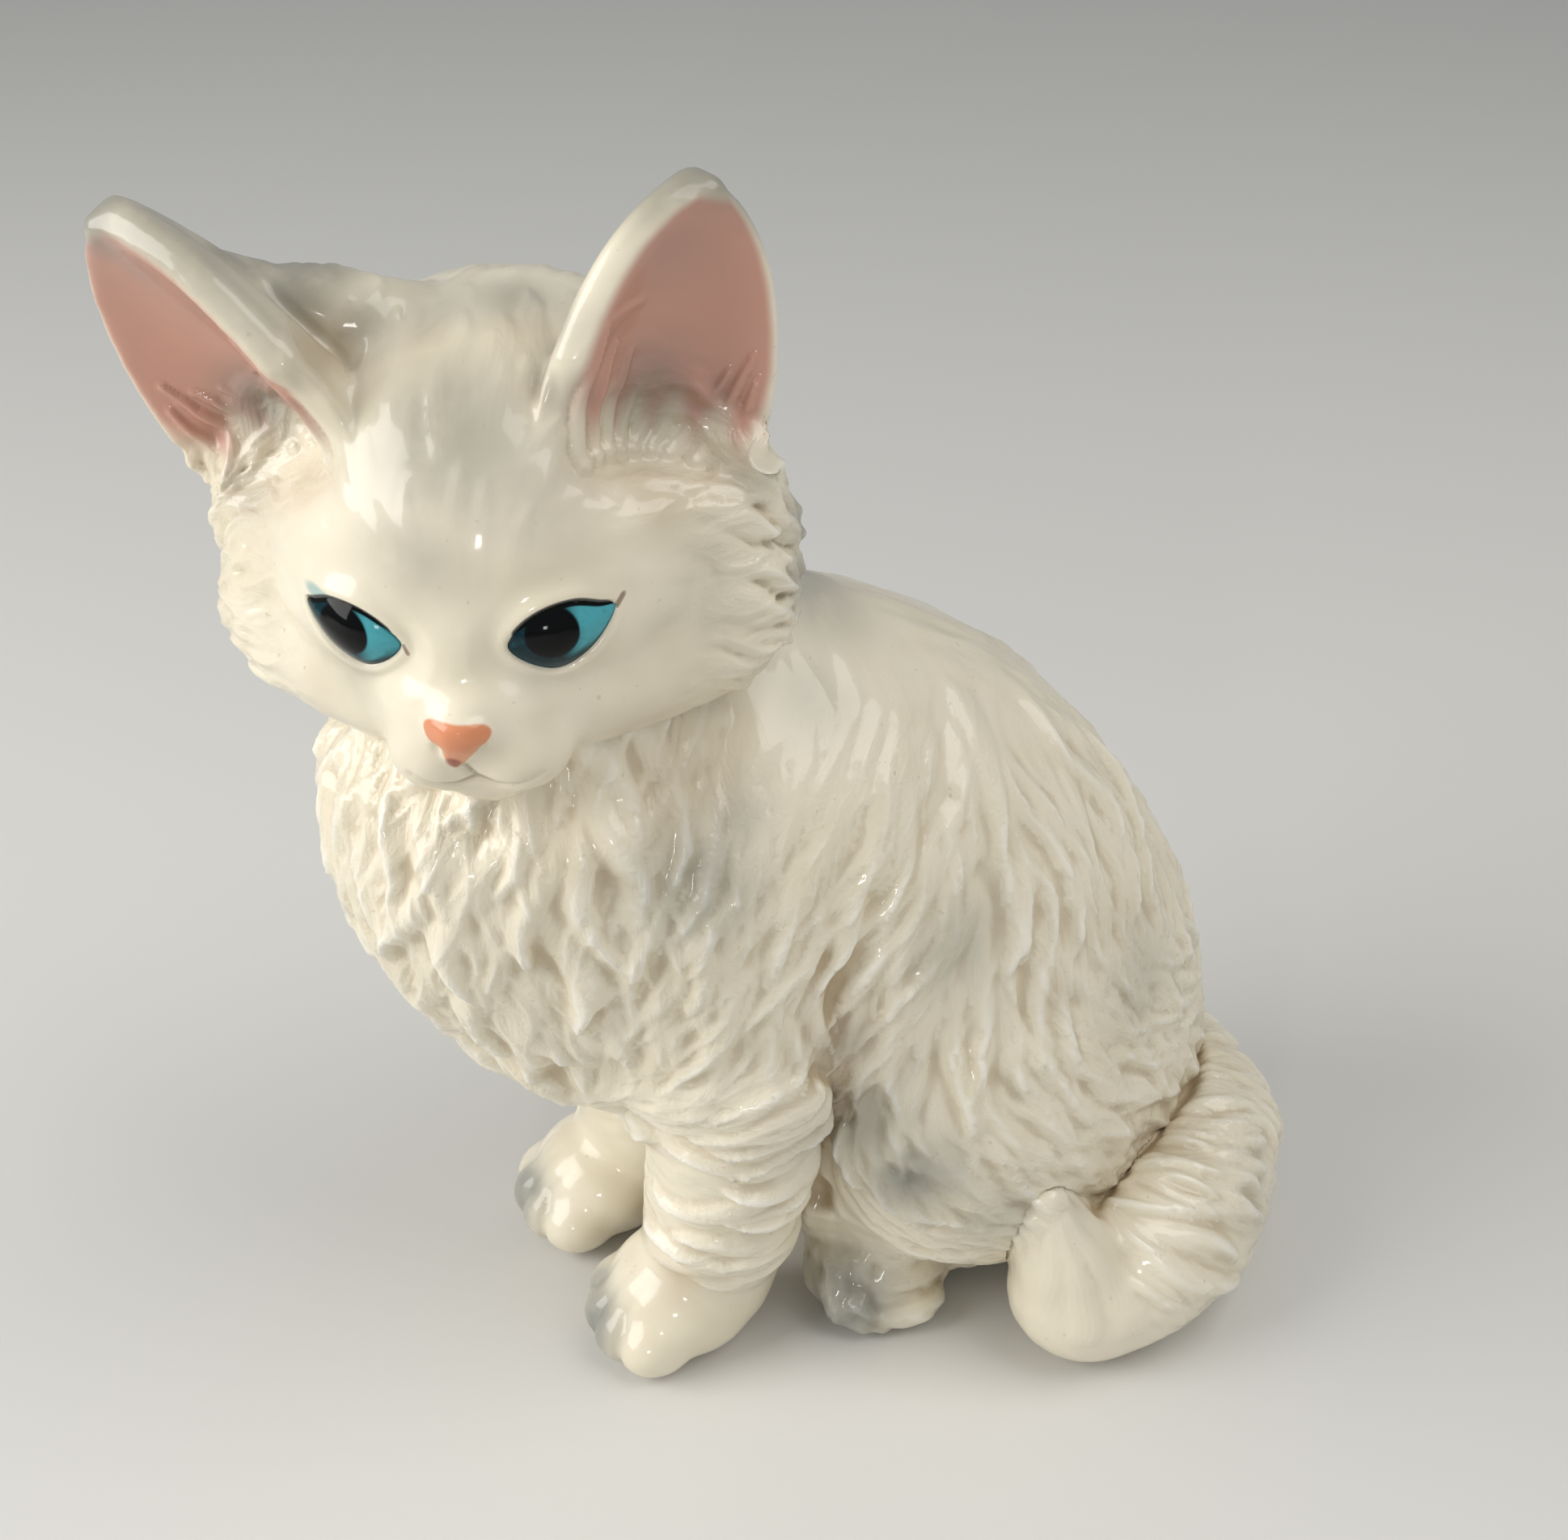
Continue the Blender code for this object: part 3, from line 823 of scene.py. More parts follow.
SIDES = [
    [(17, 16, 84), (21, 10, 78), (23, 8, 71), (25, 5, 67)],
    [(15, 25, 82), (21, 19, 76), (22, 16, 72), (23, 13, 69)],
    [(24, 9, 63), (24.5, 4, 60), (24, -2, 58)], [(24, -2, 58), (24, 5, 54), (23, 11, 54)],
    [(20, 27, 74), (22, 32, 66), (22, 35, 60)], [(15, 29, 80), (19, 26, 75), (23, 22, 68), (24, 20, 62)],
    [(12, 40, 75), (16, 45, 66), (18, 46, 59), (20, 46, 52)],
    [(0, 20, 92), (0, 38, 83), (0, 52, 66), (0, 60, 40)],
    [(4, 45, 75), (11, 50, 65), (13, 55, 52)], [(1, 18, 92), (8, 16, 90), (14, 18, 86)],
    [(0, 60, 40), (0, 62, 25)],
    [(24, 25, 62), (24.5, 20, 58), (24, 17, 50), (23, 16, 39), (25, 19, 33), (28, 26, 28)],
    [(24, 29, 58), (25, 26, 50), (26, 24, 43), (27, 25, 37), (28, 31, 31)],
    [(24, 33, 56), (24, 35, 47), (26, 39, 40), (23, 47, 33)],
    [(22, 42, 53), (21, 45, 46), (19, 54, 35), (17, 58, 31)],
    [(22, 15, 36), (21, 14, 30), (24, 18, 25), (27, 27, 22)],
    [(22, 11, 47), (24, 2, 48), (21, -5, 47)], [(19, 12, 34), (22, 3, 36), (18, -4, 34)],
    [(18, 10, 22), (20, 1, 24), (15, -5, 23)], [(3, -4, 34), (3, 6, 35)], [(3, -4, 22), (3, 6, 23)],
]
TAIL = [
    [(21, 55, 20), (22, 61, 20), (23, 68, 16)], [(26, 48, 19), (29, 52, 19), (31, 61, 14)],
    [(30, 42, 18), (34, 44, 16), (37, 49, 11)], [(31, 35, 18), (34, 35, 13), (36, 36, 6)],
    [(27, 36, 21), (29, 33, 17), (31, 31, 11)], [(3, 60, 20), (5, 67, 20), (6, 74, 14)],
    [(12, 60, 20), (14, 67, 20), (16, 73, 14)],
    [(24, 35, 17), (22, 37, 10), (21, 40, 5)], [(18, 52, 12), (16, 54, 6)],
]
# Soft patches of colour: (x, y, z, radius, strength)
BODY_WASH = [
    (14, -3, 14, 3, 0.6), (20, 55, 18, 6, 0.6), (8, 63, 20, 5, 0.6), (19, 12, 52, 6, 0.6),
    (18, -3, 84, 6, 0.4), (24, 42, 24, 5, 0.6), (18, 46, 54, 4, 0.35), (24, 36, 50, 2.5, 0.4),
    (16, -12, 80, 5, 0.3), (-18, 12, 52, 6, 0.6), (20, 14, 56, 5, 0.4), (21, 13, 40, 4, 0.5),
]
BODY_GREY = [
    (8, -12, 5, 5, 1.0), (4, -11, 7, 4, 0.9), (-14, -13, 6, 5, 0.85), (16, 17, 5, 6, 1.0),
    (23, -3, 75, 8, 0.5), (22, 15, 38, 9, 0.5), (24, 24, 60, 7, 0.4), (1, 16, 92, 9, 0.6),
    (26, 20, 31, 7, 0.7), (27, 30, 24, 7, 0.4), (20, 50, 46, 8, 0.35), (-16, 17, 5, 6, 0.8),
    (-23, -3, 75, 8, 0.4), (-22, 15, 38, 9, 0.4), (29, 36, 22, 4, 0.4), (22, 13, 50, 5, 0.4),
    (22, 2, 80, 5, 0.45), (14, 12, 88, 6, 0.35), (28, 62, 14, 7, 0.3),
]


def comb_body(skin, owner):
    """The coat: broad locks, then finer ones over them. Gives how deep the clay is cut back under it."""
    x, y, z = skin.points.T
    on_body, on_tail = owner == 0, owner == 5
    on_leg = (owner == 1) | (owner == 2)
    flow = combing(skin, CHEST + SIDES, 5.5, True)
    flow[on_tail] = combing(skin, TAIL, 4.5, False)[on_tail]
    chest = on_body & (z > 48) & (y < 7 - 0.12 * (z - 60))
    shoulder = chest & (z < 74) & (y > -12)
    haunch = on_body & ~chest & (z < 62) & (y > 10)
    flank = on_body & ~chest & ~haunch & (z < 96 - 0.25 * y)
    back = on_body & ~chest & ~haunch & ~flank
    spine = np.clip(1 - np.abs(x) / 12, 0, 1) >= 0.5
    tip = on_tail & (y < 43)
    # the coat is sleek on the shoulders and grows rougher downward, and the cuffs end above the paws
    rising = 0.3 + 0.7 * smooth_step((96 - z - 0.15 * y) / 12)
    cuff = smooth_step((z - 13) / 12)
    comb_locks(skin, flow, chest, 6.0, 27, 3.4, np.where(shoulder, 2.0, 2.6), 0.5, 0.75)
    comb_locks(skin, flow, flank & ~spine, 4.8, 26, 2.4, 1.95 * rising, 0.4, 0.75)
    comb_locks(skin, flow, back | (flank & spine), 5.5, 16, 2.6, 0.4, 0.2, 0.9)
    comb_locks(skin, flow, haunch, 4.6, 25, 2.3, 1.75, 0.35, 0.75)
    comb_locks(skin, flow, on_tail & ~tip, 4.4, 14, 1.9, 0.6, 0.25)
    broad = skin.soften(skin.relief, 1)
    broad = np.maximum(broad, skin.soften(broad, 10) - 0.35)
    skin.relief = np.zeros(len(broad))
    comb_locks(skin, flow, chest, 3.0, 18, 1.15, 0.75, 0.45)
    comb_locks(skin, flow, flank | haunch, 2.8, 17, 1.05, 0.75 * np.where(haunch, 1, rising), 0.35)
    comb_locks(skin, flow, back, 3.4, 12, 1.1, 0.14, 0.2)
    comb_locks(skin, flow, on_leg & (z > 13), 2.6, 14, 1.0, 0.32 * cuff, 0.5)
    comb_locks(skin, flow, on_tail, 2.6, 10, 0.9, np.where(tip, 0.08, 0.42), 0.25)
    skin.relief = broad + skin.relief * np.where(on_leg | on_tail, 1, 0.4 + 0.6 * smooth_step(broad / 1.2))
    # pits are filled, and what stands out too sharply is worn down
    skin.relief = np.maximum(skin.relief, skin.soften(skin.relief, 6) - 0.22)
    skin.relief = np.minimum(skin.relief, skin.soften(skin.relief, 8) + np.where(on_tail, 0.3, 0.8))
    smooth_tip = 1 - 0.9 * skin.soften(tip.astype(float), 12)
    skin.relief = skin.relief * smooth_tip * np.where(on_leg, smooth_step((z - 7) / 16), 1)
    skin.relief = skin.relief * np.where(on_tail, smooth_step((z - 1) / 6), 1)
    # three soft ridges run down from the point of the tail
    for foot in ((32, 33.5, 11), (35.5, 37.5, 10), (34, 43, 10)):
        middle = ((29.4 + foot[0]) / 2 + 1.5, (35.4 + foot[1]) / 2, 17.5)
        draw_line(skin, spline([(29.4, 35.4, 24), middle, foot], 6), (0.8, 2.2), (0.55, 0.3))
    return np.where(chest, 2.3, np.where(haunch | flank, 0.9, np.where(on_tail & ~tip, 0.4, 0.1)))


def crease_body(skin, owner):
    """The creases where limbs lie against the trunk, and the clefts between the toes."""
    x, y, z = skin.points.T
    on_tail, on_hind_paw = owner == 5, (owner == 3) | (owner == 4)
    on_leg = (owner == 1) | (owner == 2)
    skin.groove -= 1.7 * skin.border(on_tail, 14) * smooth_step((z - 4) / 6) * smooth_step((y - 39) / 6)
    skin.groove -= 0.3 * skin.border(on_hind_paw, 10)
    rear_of_leg = smooth_step((y - 7) / 4) * smooth_step((60 - z) / 6)
    skin.groove -= 1.6 * skin.border(on_leg, 18) * rear_of_leg
    armpit = ((22.6, 9, 64), (23, 11, 60), (22.6, 11.6, 50), (19.3, 12, 35), (14, 13, 19))
    for side in (-1, 1):
        stations = [(side * across, along, up) for across, along, up in armpit]
        draw_line(skin, spline(stations, 4), (1.6, 3.0), (0.3, 1.7), groove=True, edge=1.6)
    for paws, reach, clefts in ((FORE_PAWS, 9.8, (-3.6, 0, 3.6)), (HIND_PAWS, 11.8, (-2.4, 2.4))):
        for paw_x, paw_y, turn in paws.values():
            spin = np.array(Matrix.Rotation(math.radians(turn), 3, "Z"))
            for across in clefts:
                front = -reach * (1 - 0.018 * across * across)
                stations = [
                    spin @ spot + (paw_x, paw_y, 0)
                    for spot in (
                        (across, front, 1.5),
                        (across, front, 5),
                        (across * 0.95, 1.8 - reach, 8.5),
                        (across * 0.9, 5 - reach, 11),
                    )
                ]
                draw_line(skin, spline(stations, 3), (1.0, 0.7), (0.5, 0.1), groove=True, edge=1.2)


BODY_PARTS = ["body_shell", "left_foreleg", "right_foreleg", "left_hind_paw", "right_hind_paw", "tail"]
body = rub(
    join("body", [torso(), foreleg(-1), foreleg(1), hind_paw(-1), hind_paw(1), brush()]),
    BODY_SKIN,
    5,
)
body_skin = Skin(body)
body_owner = owners((body_skin.points + SHIFT) * MM, BODY_PARTS)
cut_back = comb_body(body_skin, body_owner)
crease_body(body_skin, body_owner)
body_skin.press(cut_back=body_skin.soften(cut_back, 30))
body_skin.points[:, 2] = np.maximum(body_skin.points[:, 2], 0)
body_skin.write()
tag(body, "hollow", body_skin.hollow)
tag(body, "wash", blobs(body_skin, BODY_WASH))
tag(body, "airbrush", blobs(body_skin, BODY_GREY))
tag(body, "keep", np.zeros(len(body_skin.points)))
tag(body, "across", body_skin.across)
tag(body, "relief", np.clip(body_skin.relief / 0.9, 0, 1))


# ---------------------------------------------------------------- the head

# Outlines on the face, seen from its front: (across, up)
EYE_LOOP = [
    (4.5, -0.9), (5.9, 1.2), (8.0, 2.5), (10.5, 2.8), (12.6, 2.0),
    (14.1, 1.1), (13.0, -0.9), (10.9, -2.8), (8.5, -3.8), (6.1, -2.8),
]
PUPILS = {1: (8.7, 0.4), -1: (-9.8, 0.2)}
NOSE_LOOP = [
    (-2.7, -6.0), (-1.4, -5.35), (0.5, -5.4), (2.5, -5.8), (3.25, -6.8), (2.4, -8.0),
    (1.1, -9.2), (0.2, -10.4), (-0.5, -10.8), (-1.2, -9.8), (-1.8, -8.4), (-2.7, -7.3),
]
NOSTRILS = (-1.75, 2.15)
MOUTH = [
    [(0.0, -10.8), (0.9, -12.5)],
    [(0.9, -12.5), (-0.8, -13.3), (-3.0, -13.1), (-5.0, -12.0)],
    [(0.9, -12.5), (2.6, -13.2), (4.8, -13.0), (6.8, -12.0)],
]
# Brown in the eyes' corners: a short line and how fast it fades
TEARS = (([(13.8, 0.9), (14.4, 1.7)], 2.3), ([(-4.5, -0.8), (-4.2, -1.7)], 3))
HAIR = [
    [(4, -18, 7), (4.5, -15, 13), (4, -8, 18), (2, 2, 21)], [(0, -17, 7), (0, -14, 14), (0, -2, 21)],
    [(9, -17, 5), (13, -14, 8), (18, -10, 10), (22, -6, 10)],
    [(12, -14, 11), (16, -11, 9), (21, -6, 6)], [(14, -14, 3), (18, -11, 3), (23, -5, 1)],
    [(14, -15, -3), (18, -10, -4), (23, -3, -5)], [(12, -15, -8), (17, -11, -9), (23, -3, -12), (24, 2, -15)],
    [(17, -9, -13), (22, -3, -16), (23, 3, -20)], [(8, -17, -3), (12, -15, -4), (16, -12, -5)],
    [(22, -4, 9), (24, 0, 5), (24, 2, -1), (24, 5, -9)],
    [(0, 8, 20), (0, 18, 15), (0, 24, 2), (0, 22, -12)],
    [(12, 8, 18), (15, 16, 10), (16, 17, -2), (14, 16, -14)], [(21, 6, 8), (22, 9, 0), (21, 9, -10)],
]
# Hairs that climb into a cup: where each starts across it, how far it leans, and how far up it reaches
CUP_HAIRS = (
    (-0.8, -0.05, 0.5), (-0.62, 0.0, 0.42), (-0.42, 0.08, 0.36), (-0.22, 0.16, 0.3), (0.0, 0.22, 0.27),
    (0.2, 0.28, 0.3), (0.4, 0.25, 0.34), (0.6, 0.2, 0.42), (0.78, 0.08, 0.34),
)
HEAD_GREY = [
    (21.8, 1, 32, 5, 0.35), (9.7, -4.7, 22.3, 4, 0.75), (9.4, -6.8, 17.3, 3.5, 0.7),
    (-2.2, 1.3, 21, 8, 0.45), (4, 3, 21, 6, 0.55), (-13.6, 1, 24.8, 6, 0.9), (-18.4, 1, 25.9, 6, 0.85),
    (-24.8, 1, 29.1, 5, 0.75), (-28.9, -1, 31.4, 4.5, 0.8), (-8, -2, 22, 5, 0.6), (26, 2.4, -1.5, 5, 0.7),
    (25.9, 0.4, -6.5, 5, 0.8), (16, -1.6, 14, 6, 0.6), (21, 2, 12, 4, 0.5), (24, -2, 5, 4, 0.4),
    (9, -16, 9, 5, 0.3), (-11, -16, -6, 4, 0.4), (25, 2, -14, 6, 0.7), (20, -8, -3, 8, 0.25),
    (-20, 2, 12, 5, 0.7), (-14, -6, 16, 4, 0.7), (6, -18, -5, 3, 0.25), (3, -15, 13, 6, 0.25),
    (-22, -3, 6, 4, 0.5), (-4, -19, 0, 3, 0.2), (1, -12, 16, 10, 0.6), (-2, -17, 8, 7, 0.42),
    (8, -14, 11, 6, 0.35), (20, -2, 28, 6, 0.3),
]
HEAD_WASH = [
    (-10.5, -5.5, 21.3, 4, 0.85), (18, -9, 9, 4, 0.5), (13, -11, 12, 4, 0.35), (8, -8, 17, 2.5, 0.4),
    (6, -2, 21, 3, 0.5), (22, -3, 8, 4, 0.3), (-14, -12, -11, 4, 0.3), (14, -14, -13, 5, 0.4),
    (-3, -3, 21, 3, 0.3), (1, -20, -15, 4, 0.3),
]


def rub_below_ears(skin, ears):
    """Below the cups the skull is rubbed smooth again."""
    x = skin.points[:, 0]
    below = np.zeros(len(x))
    for side, ear in ears.items():
        up, out, half, depth = ear.read(skin.points)
        near = (x * side > 3) & (np.abs(out) < ear.half_width * 1.3) & (depth > -2.5)
        top = np.where(out < -0.35 * half, 0.34, 0.13)
        below = np.where(near, np.maximum(below, smooth_step((top - up) / 0.1) * (up > -0.3)), below)
    below = skin.soften(below, 12)[:, None]
    skin.points = skin.points * (1 - below) + skin.soften(skin.points, 200, 0.9) * below


def sink_eyes(skin):
    """A lid round each almond, and room behind it for the enamel. Gives each eyeball's radius, and how far
    inside an almond each point is."""
    x, y, z = skin.points.T
    radii = {}
    eye_edge = np.full(len(x), -9.0)
    for side in (1, -1):
        centre = EYE_CENTRE * (side, 1, 1)
        near = np.flatnonzero((y < -8) & (np.abs(x - side * 9.3) < 9.5) & (np.abs(z) < 8.5))
        inside = loop_distance(skin.points[near][:, [0, 2]] * (side, 1), EYE_LOOP)
        rel = skin.points[near] - centre
        apart = np.linalg.norm(rel, axis=1)
        ball = radii[side] = float(np.median(apart[(inside > -1.6) & (inside < 0)]))
        lid = 0.12 * np.exp(-(((inside + 0.55) / 0.5) ** 2))
        target = np.where(inside > 0, ball - 1.1 * smooth_step(inside / 0.5), ball + lid)
        weight = np.where(inside > 0, 1.0, smooth_step(1 + inside / 3.2))
        skin.points[near] = centre + rel / apart[:, None] * (apart * (1 - weight) + target * weight)[:, None]
        eye_edge[near] = np.maximum(eye_edge[near], inside)
    return radii, eye_edge


def press_nose_and_mouth(skin):
    """The nose stands out, the mouth and nostrils are pressed in. Gives how far inside the nose and how far
    from the mouth each point is."""
    x, y, z = skin.points.T
    front = (y < -9) & (np.abs(x) < 12) & (z < -3) & (z > -19)
    flat = skin.points[front][:, [0, 2]]
    nose_edge = np.full(len(x), -9.0)
    nose_edge[front] = loop_distance(flat, NOSE_LOOP)
    mouth_edge = np.full(len(x), 9.0)
    mouth_edge[front] = np.min([line_distance(flat, line) for line in MOUTH], axis=0)
    mouth_edge[front] += 0.05 * np.abs(x[front] - 0.9)
    skin.points[:, 1] -= 0.45 * smooth_step((nose_edge + 0.5) / 0.9)
    skin.points[:, 1] += 0.5 * np.exp(-((mouth_edge / 0.45) ** 2))
    for nostril in NOSTRILS:
        pit = np.exp(-(((x - nostril) / 0.55) ** 2 + ((z + 8.6) / 0.7) ** 2)) * front
        skin.points[:, 1] += 0.55 * pit
    return nose_edge, mouth_edge


def read_ears(skin, ears):
    """How far inside a cup's lining each point is, and which points are on an ear."""
    x = skin.points[:, 0]
    cup = np.zeros(len(x))
    on_ear = np.zeros(len(x), dtype=bool)
    for side, ear in ears.items():
        up, out, half, depth = ear.read(skin.points)
        facing = skin.normals @ np.array(ear.outward)
        mine = (x * side > 3) & (up > -0.1) & (depth < 3.2) & (depth > -1)
        inner = np.minimum(half - 0.35 - np.abs(out), (0.99 - up) * 24)
        inner = np.clip(np.minimum(inner, (facing - 0.05) * 6), 0, 2)
        fading = smooth_step((up + 0.02 + 0.05 * np.sin(out * 1.7)) / 0.42)
        cup = np.where(mine, np.maximum(cup, inner * fading), cup)
        on_ear |= (x * side > 3) & (np.abs(depth) < 6) & (up > 0.2)
    return cup, on_ear


def comb_head(skin, ears, on_ear, eye_edge):
    """Locks on the cheeks and nape, fine hair on the brow, and long hairs that climb into the cups.
    Gives how deep the clay is cut back under them."""
    x, y, z = skin.points.T
    flow = combing(skin, HAIR, 4.5, True)
    off_middle = np.abs(x - 0.5)
    face = (y < -7) & (off_middle < 13.5 - 0.25 * np.abs(z + 2)) & (z < 14)
    cheek = ~face & ~on_ear & (y < 12) & (z > -18) & (np.abs(x) > 11) & ((z > 5) | (off_middle > 15.5))
    brow = ~face & ~on_ear & ~cheek & (y < 8) & (z > 5)
    nape = ~face & ~on_ear & (y >= 8)
    tufted = smooth_step((off_middle - 15.5) / 5.5)
    tufted = 0.12 + tufted + 0.6 * smooth_step((z - 6) / 4) * smooth_step((np.abs(x) - 11) / 4)
    tufted = np.clip(tufted, 0, 1)
    comb_locks(skin, flow, cheek, 4.2, 14, 2.1, 1.75 * tufted, 0.55)
    comb_locks(skin, flow, brow, 4.4, 10, 1.6, 0.26, 0.2, 0.6)
    comb_locks(skin, flow, nape, 4.2, 14, 2.1, 0.5, 0.25)
    comb_locks(skin, flow, face & (z > 4) & (eye_edge < -3.4), 5.0, 9, 1.3, 0.13, 0.15, 0.6)
    broad = skin.soften(skin.relief, 1)
    skin.relief = np.zeros(len(broad))
    comb_locks(skin, flow, cheek, 2.4, 10, 0.85, 0.7 * tufted, 0.5)
    comb_locks(skin, flow, nape, 2.8, 10, 0.9, 0.2, 0.25)
    skin.relief = broad + skin.relief
    for side, ear in ears.items():
        for start, lean, reach in CUP_HAIRS:
            line = [
                ear.place((start + lean * up / reach) * side, up) + ear.outward * 0.8
                for up in np.linspace(-0.1, reach, 8)
            ]
            draw_line(skin, line, (1.25, 0.3), (1.15, 0.4))
    return np.where(cheek, 0.6 * tufted, 0.1 * (~face & ~on_ear))


def paint_head(skin, ears, cup, on_ear, eye_edge, nose_edge, mouth_edge):
    x, y, z = skin.uncarved.T
    flat = skin.points[:, [0, 2]]
    face = y < -8
    tag(skin.piece, "hollow", skin.hollow)
    tag(skin.piece, "pink", cup)
    tag(skin.piece, "lid", eye_edge - 0.6 * smooth_step((0.5 - z + 0.12 * np.abs(x)) / 1.5))
    tears = np.max([0.9 - line_distance(flat, line) * fade for line, fade in TEARS], axis=0)
    tag(skin.piece, "tear", tears * face)
    tag(skin.piece, "teal", (1.3 - np.linalg.norm((flat - (-12.0, 2.7)) / (1.9, 0.7), axis=1)) * face)
    tag(skin.piece, "nose_tip", (1.1 - np.linalg.norm(flat - (-0.6, -10.1), axis=1)) * face)
    tag(skin.piece, "nose", nose_edge)
    tag(skin.piece, "keep", (y < -7) & (np.abs(x) < 17) & (z < 6))
    tag(skin.piece, "mouth", mouth_edge)
    tag(skin.piece, "across", skin.across)
    tag(skin.piece, "relief", np.clip(skin.relief / 0.9, 0, 1))
    # the far ear is grey all over its back, and the near ear only towards its tip
    grey = np.zeros(len(x))
    for side, ear in ears.items():
        up = ear.read(skin.points)[0]
        behind = 0.75 * smooth_step((up - 0.62) / 0.4) if side > 0 else 0.25 + 0.35 * smooth_step(up)
        lining = np.where(cup > 0.4, 0.45 * smooth_step((up - 0.45) / 0.5), 1)
        grey = np.where(on_ear & (x * side > 3), behind * lining, grey)
    tag(skin.piece, "airbrush", np.maximum(skin.soften(grey, 12), blobs(skin, HEAD_GREY)))
    tag(skin.piece, "wash", blobs(skin, HEAD_WASH))


HEAD_PARTS = ["head_shell", "left_ear", "right_ear"]
ears = {side: Ear(side) for side in (1, -1)}
head_lump = skull()
for ear in ears.values():
    cut(head_lump, ear.scoop())
head = rub(
    join("head", [head_lump, ears[1].shell(), ears[-1].shell(), neck_in_head_frame()]),
    HEAD_SKIN,
    8,
)
head_skin = Skin(head)
rub_below_ears(head_skin, ears)
eye_radii, eye_edge = sink_eyes(head_skin)
nose_edge, mouth_edge = press_nose_and_mouth(head_skin)
head_skin.write()
head_skin.refresh()
cup, on_ear = read_ears(head_skin, ears)
cut_back = comb_head(head_skin, ears, on_ear, eye_edge)
head_skin.press(cut_back=head_skin.soften(cut_back, 8))
head_skin.write()
paint_head(head_skin, ears, cup, on_ear, eye_edge, nose_edge, mouth_edge)
head_owner = np.zeros(len(head_skin.points), dtype=int)
for number, side in ((1, 1), (2, -1)):
    up, _, _, depth = ears[side].read(head_skin.points)
    head_owner[(head_skin.uncarved[:, 0] * side > 3) & (np.abs(depth) < 7) & (up > 0.27)] = number


def eye_bead(side, eye_radius):
    """A bead of enamel, closed all round, filling one almond."""
    bpy.ops.object.select_all(action="DESELECT")
    bpy.ops.mesh.primitive_grid_add(x_subdivisions=72, y_subdivisions=48, size=2, location=(0, 0, 0))
    bead = bpy.context.object
    loop = np.array(list(spline([EYE_LOOP[-1], *EYE_LOOP, EYE_LOOP[0], EYE_LOOP[1]], 12)))[12:-12]
    middle = loop.mean(0)
    angles = np.arctan2(loop[:, 1] - middle[1], loop[:, 0] - middle[0])
    spans = np.linalg.norm(loop - middle, axis=1)
    ranks = np.argsort(angles)
    places = np.zeros((len(bead.data.vertices), 3))
    # the square grid is drawn into a disc, the disc into the almond, and the almond is domed
    for k, (a, b, _) in enumerate(fetch(bead.data.vertices, "co", 3)):
        if abs(a) > abs(b):
            radius, turn = a, math.pi / 4 * b / a
        else:
            radius, turn = b, math.pi / 2 - (math.pi / 4 * a / b if abs(b) > 1e-9 else 0)
        spot = np.array([radius * math.cos(turn), radius * math.sin(turn)])
        reach = np.linalg.norm(spot)
        span = np.interp(math.atan2(spot[1], spot[0]), angles[ranks], spans[ranks], period=2 * math.pi)
        flat = middle + spot * span * 1.02
        dome = eye_radius - 0.4 + 0.85 * (1 - reach**2)
        depth = dome**2 - (flat[0] - EYE_CENTRE[0]) ** 2 - (flat[1] - EYE_CENTRE[2]) ** 2
        places[k] = (side * flat[0], EYE_CENTRE[1] - math.sqrt(max(depth, 0)), flat[1])
    bead.data.vertices.foreach_set("co", (places * MM).astype(np.float32).ravel())
    tag(bead, "lid", loop_distance(places[:, [0, 2]] * (side, 1), EYE_LOOP))
    tag(bead, "gaze_x", places[:, 0] - PUPILS[side][0])
    tag(bead, "gaze_z", places[:, 2] - PUPILS[side][1])
    bpy.ops.object.mode_set(mode="EDIT")
    bpy.ops.mesh.select_all(action="SELECT")
    bpy.ops.mesh.normals_make_consistent(inside=False)
    bpy.ops.object.mode_set(mode="OBJECT")
    if sum(face.normal.y for face in bead.data.polygons) > 0:
        bpy.ops.object.mode_set(mode="EDIT")
        bpy.ops.mesh.flip_normals()
        bpy.ops.object.mode_set(mode="OBJECT")
    back = bead.modifiers.new("Back", "SOLIDIFY")
    back.thickness = 0.9 * MM
    back.offset = -1
    bpy.ops.object.modifier_apply(modifier=back.name)
    bead.name = "left_eye" if side > 0 else "right_eye"
    bpy.ops.object.shade_smooth()
    return bead


# ---------------------------------------------------------------- the castings

def settle(piece, spin, centre):
    """From the frame that it was modelled in to the row's own."""
    points = (fetch(piece.data.vertices, "co", 3) / MM) @ spin.T + centre + SHIFT
    piece.data.vertices.foreach_set("co", (points * MM).astype(np.float32).ravel())
    piece.data.update()


def cut_out(whole, wanted, name):
    """A copy of the worked skin with only the wanted faces, left in edit mode."""
    bpy.ops.object.select_all(action="DESELECT")
    whole.select_set(True)
    bpy.context.view_layer.objects.active = whole
    bpy.ops.object.duplicate()
    piece = bpy.context.object
    piece.name = name
    bpy.ops.object.mode_set(mode="EDIT")
    bpy.ops.mesh.select_mode(type="FACE")
    bpy.ops.mesh.select_all(action="DESELECT")
    bpy.ops.object.mode_set(mode="OBJECT")
    piece.data.polygons.foreach_set("select", ~wanted)
    bpy.ops.object.mode_set(mode="EDIT")
    bpy.ops.mesh.delete(type="FACE")
    bpy.ops.mesh.select_mode(type="VERT")
    bpy.ops.mesh.delete_loose()
    return piece


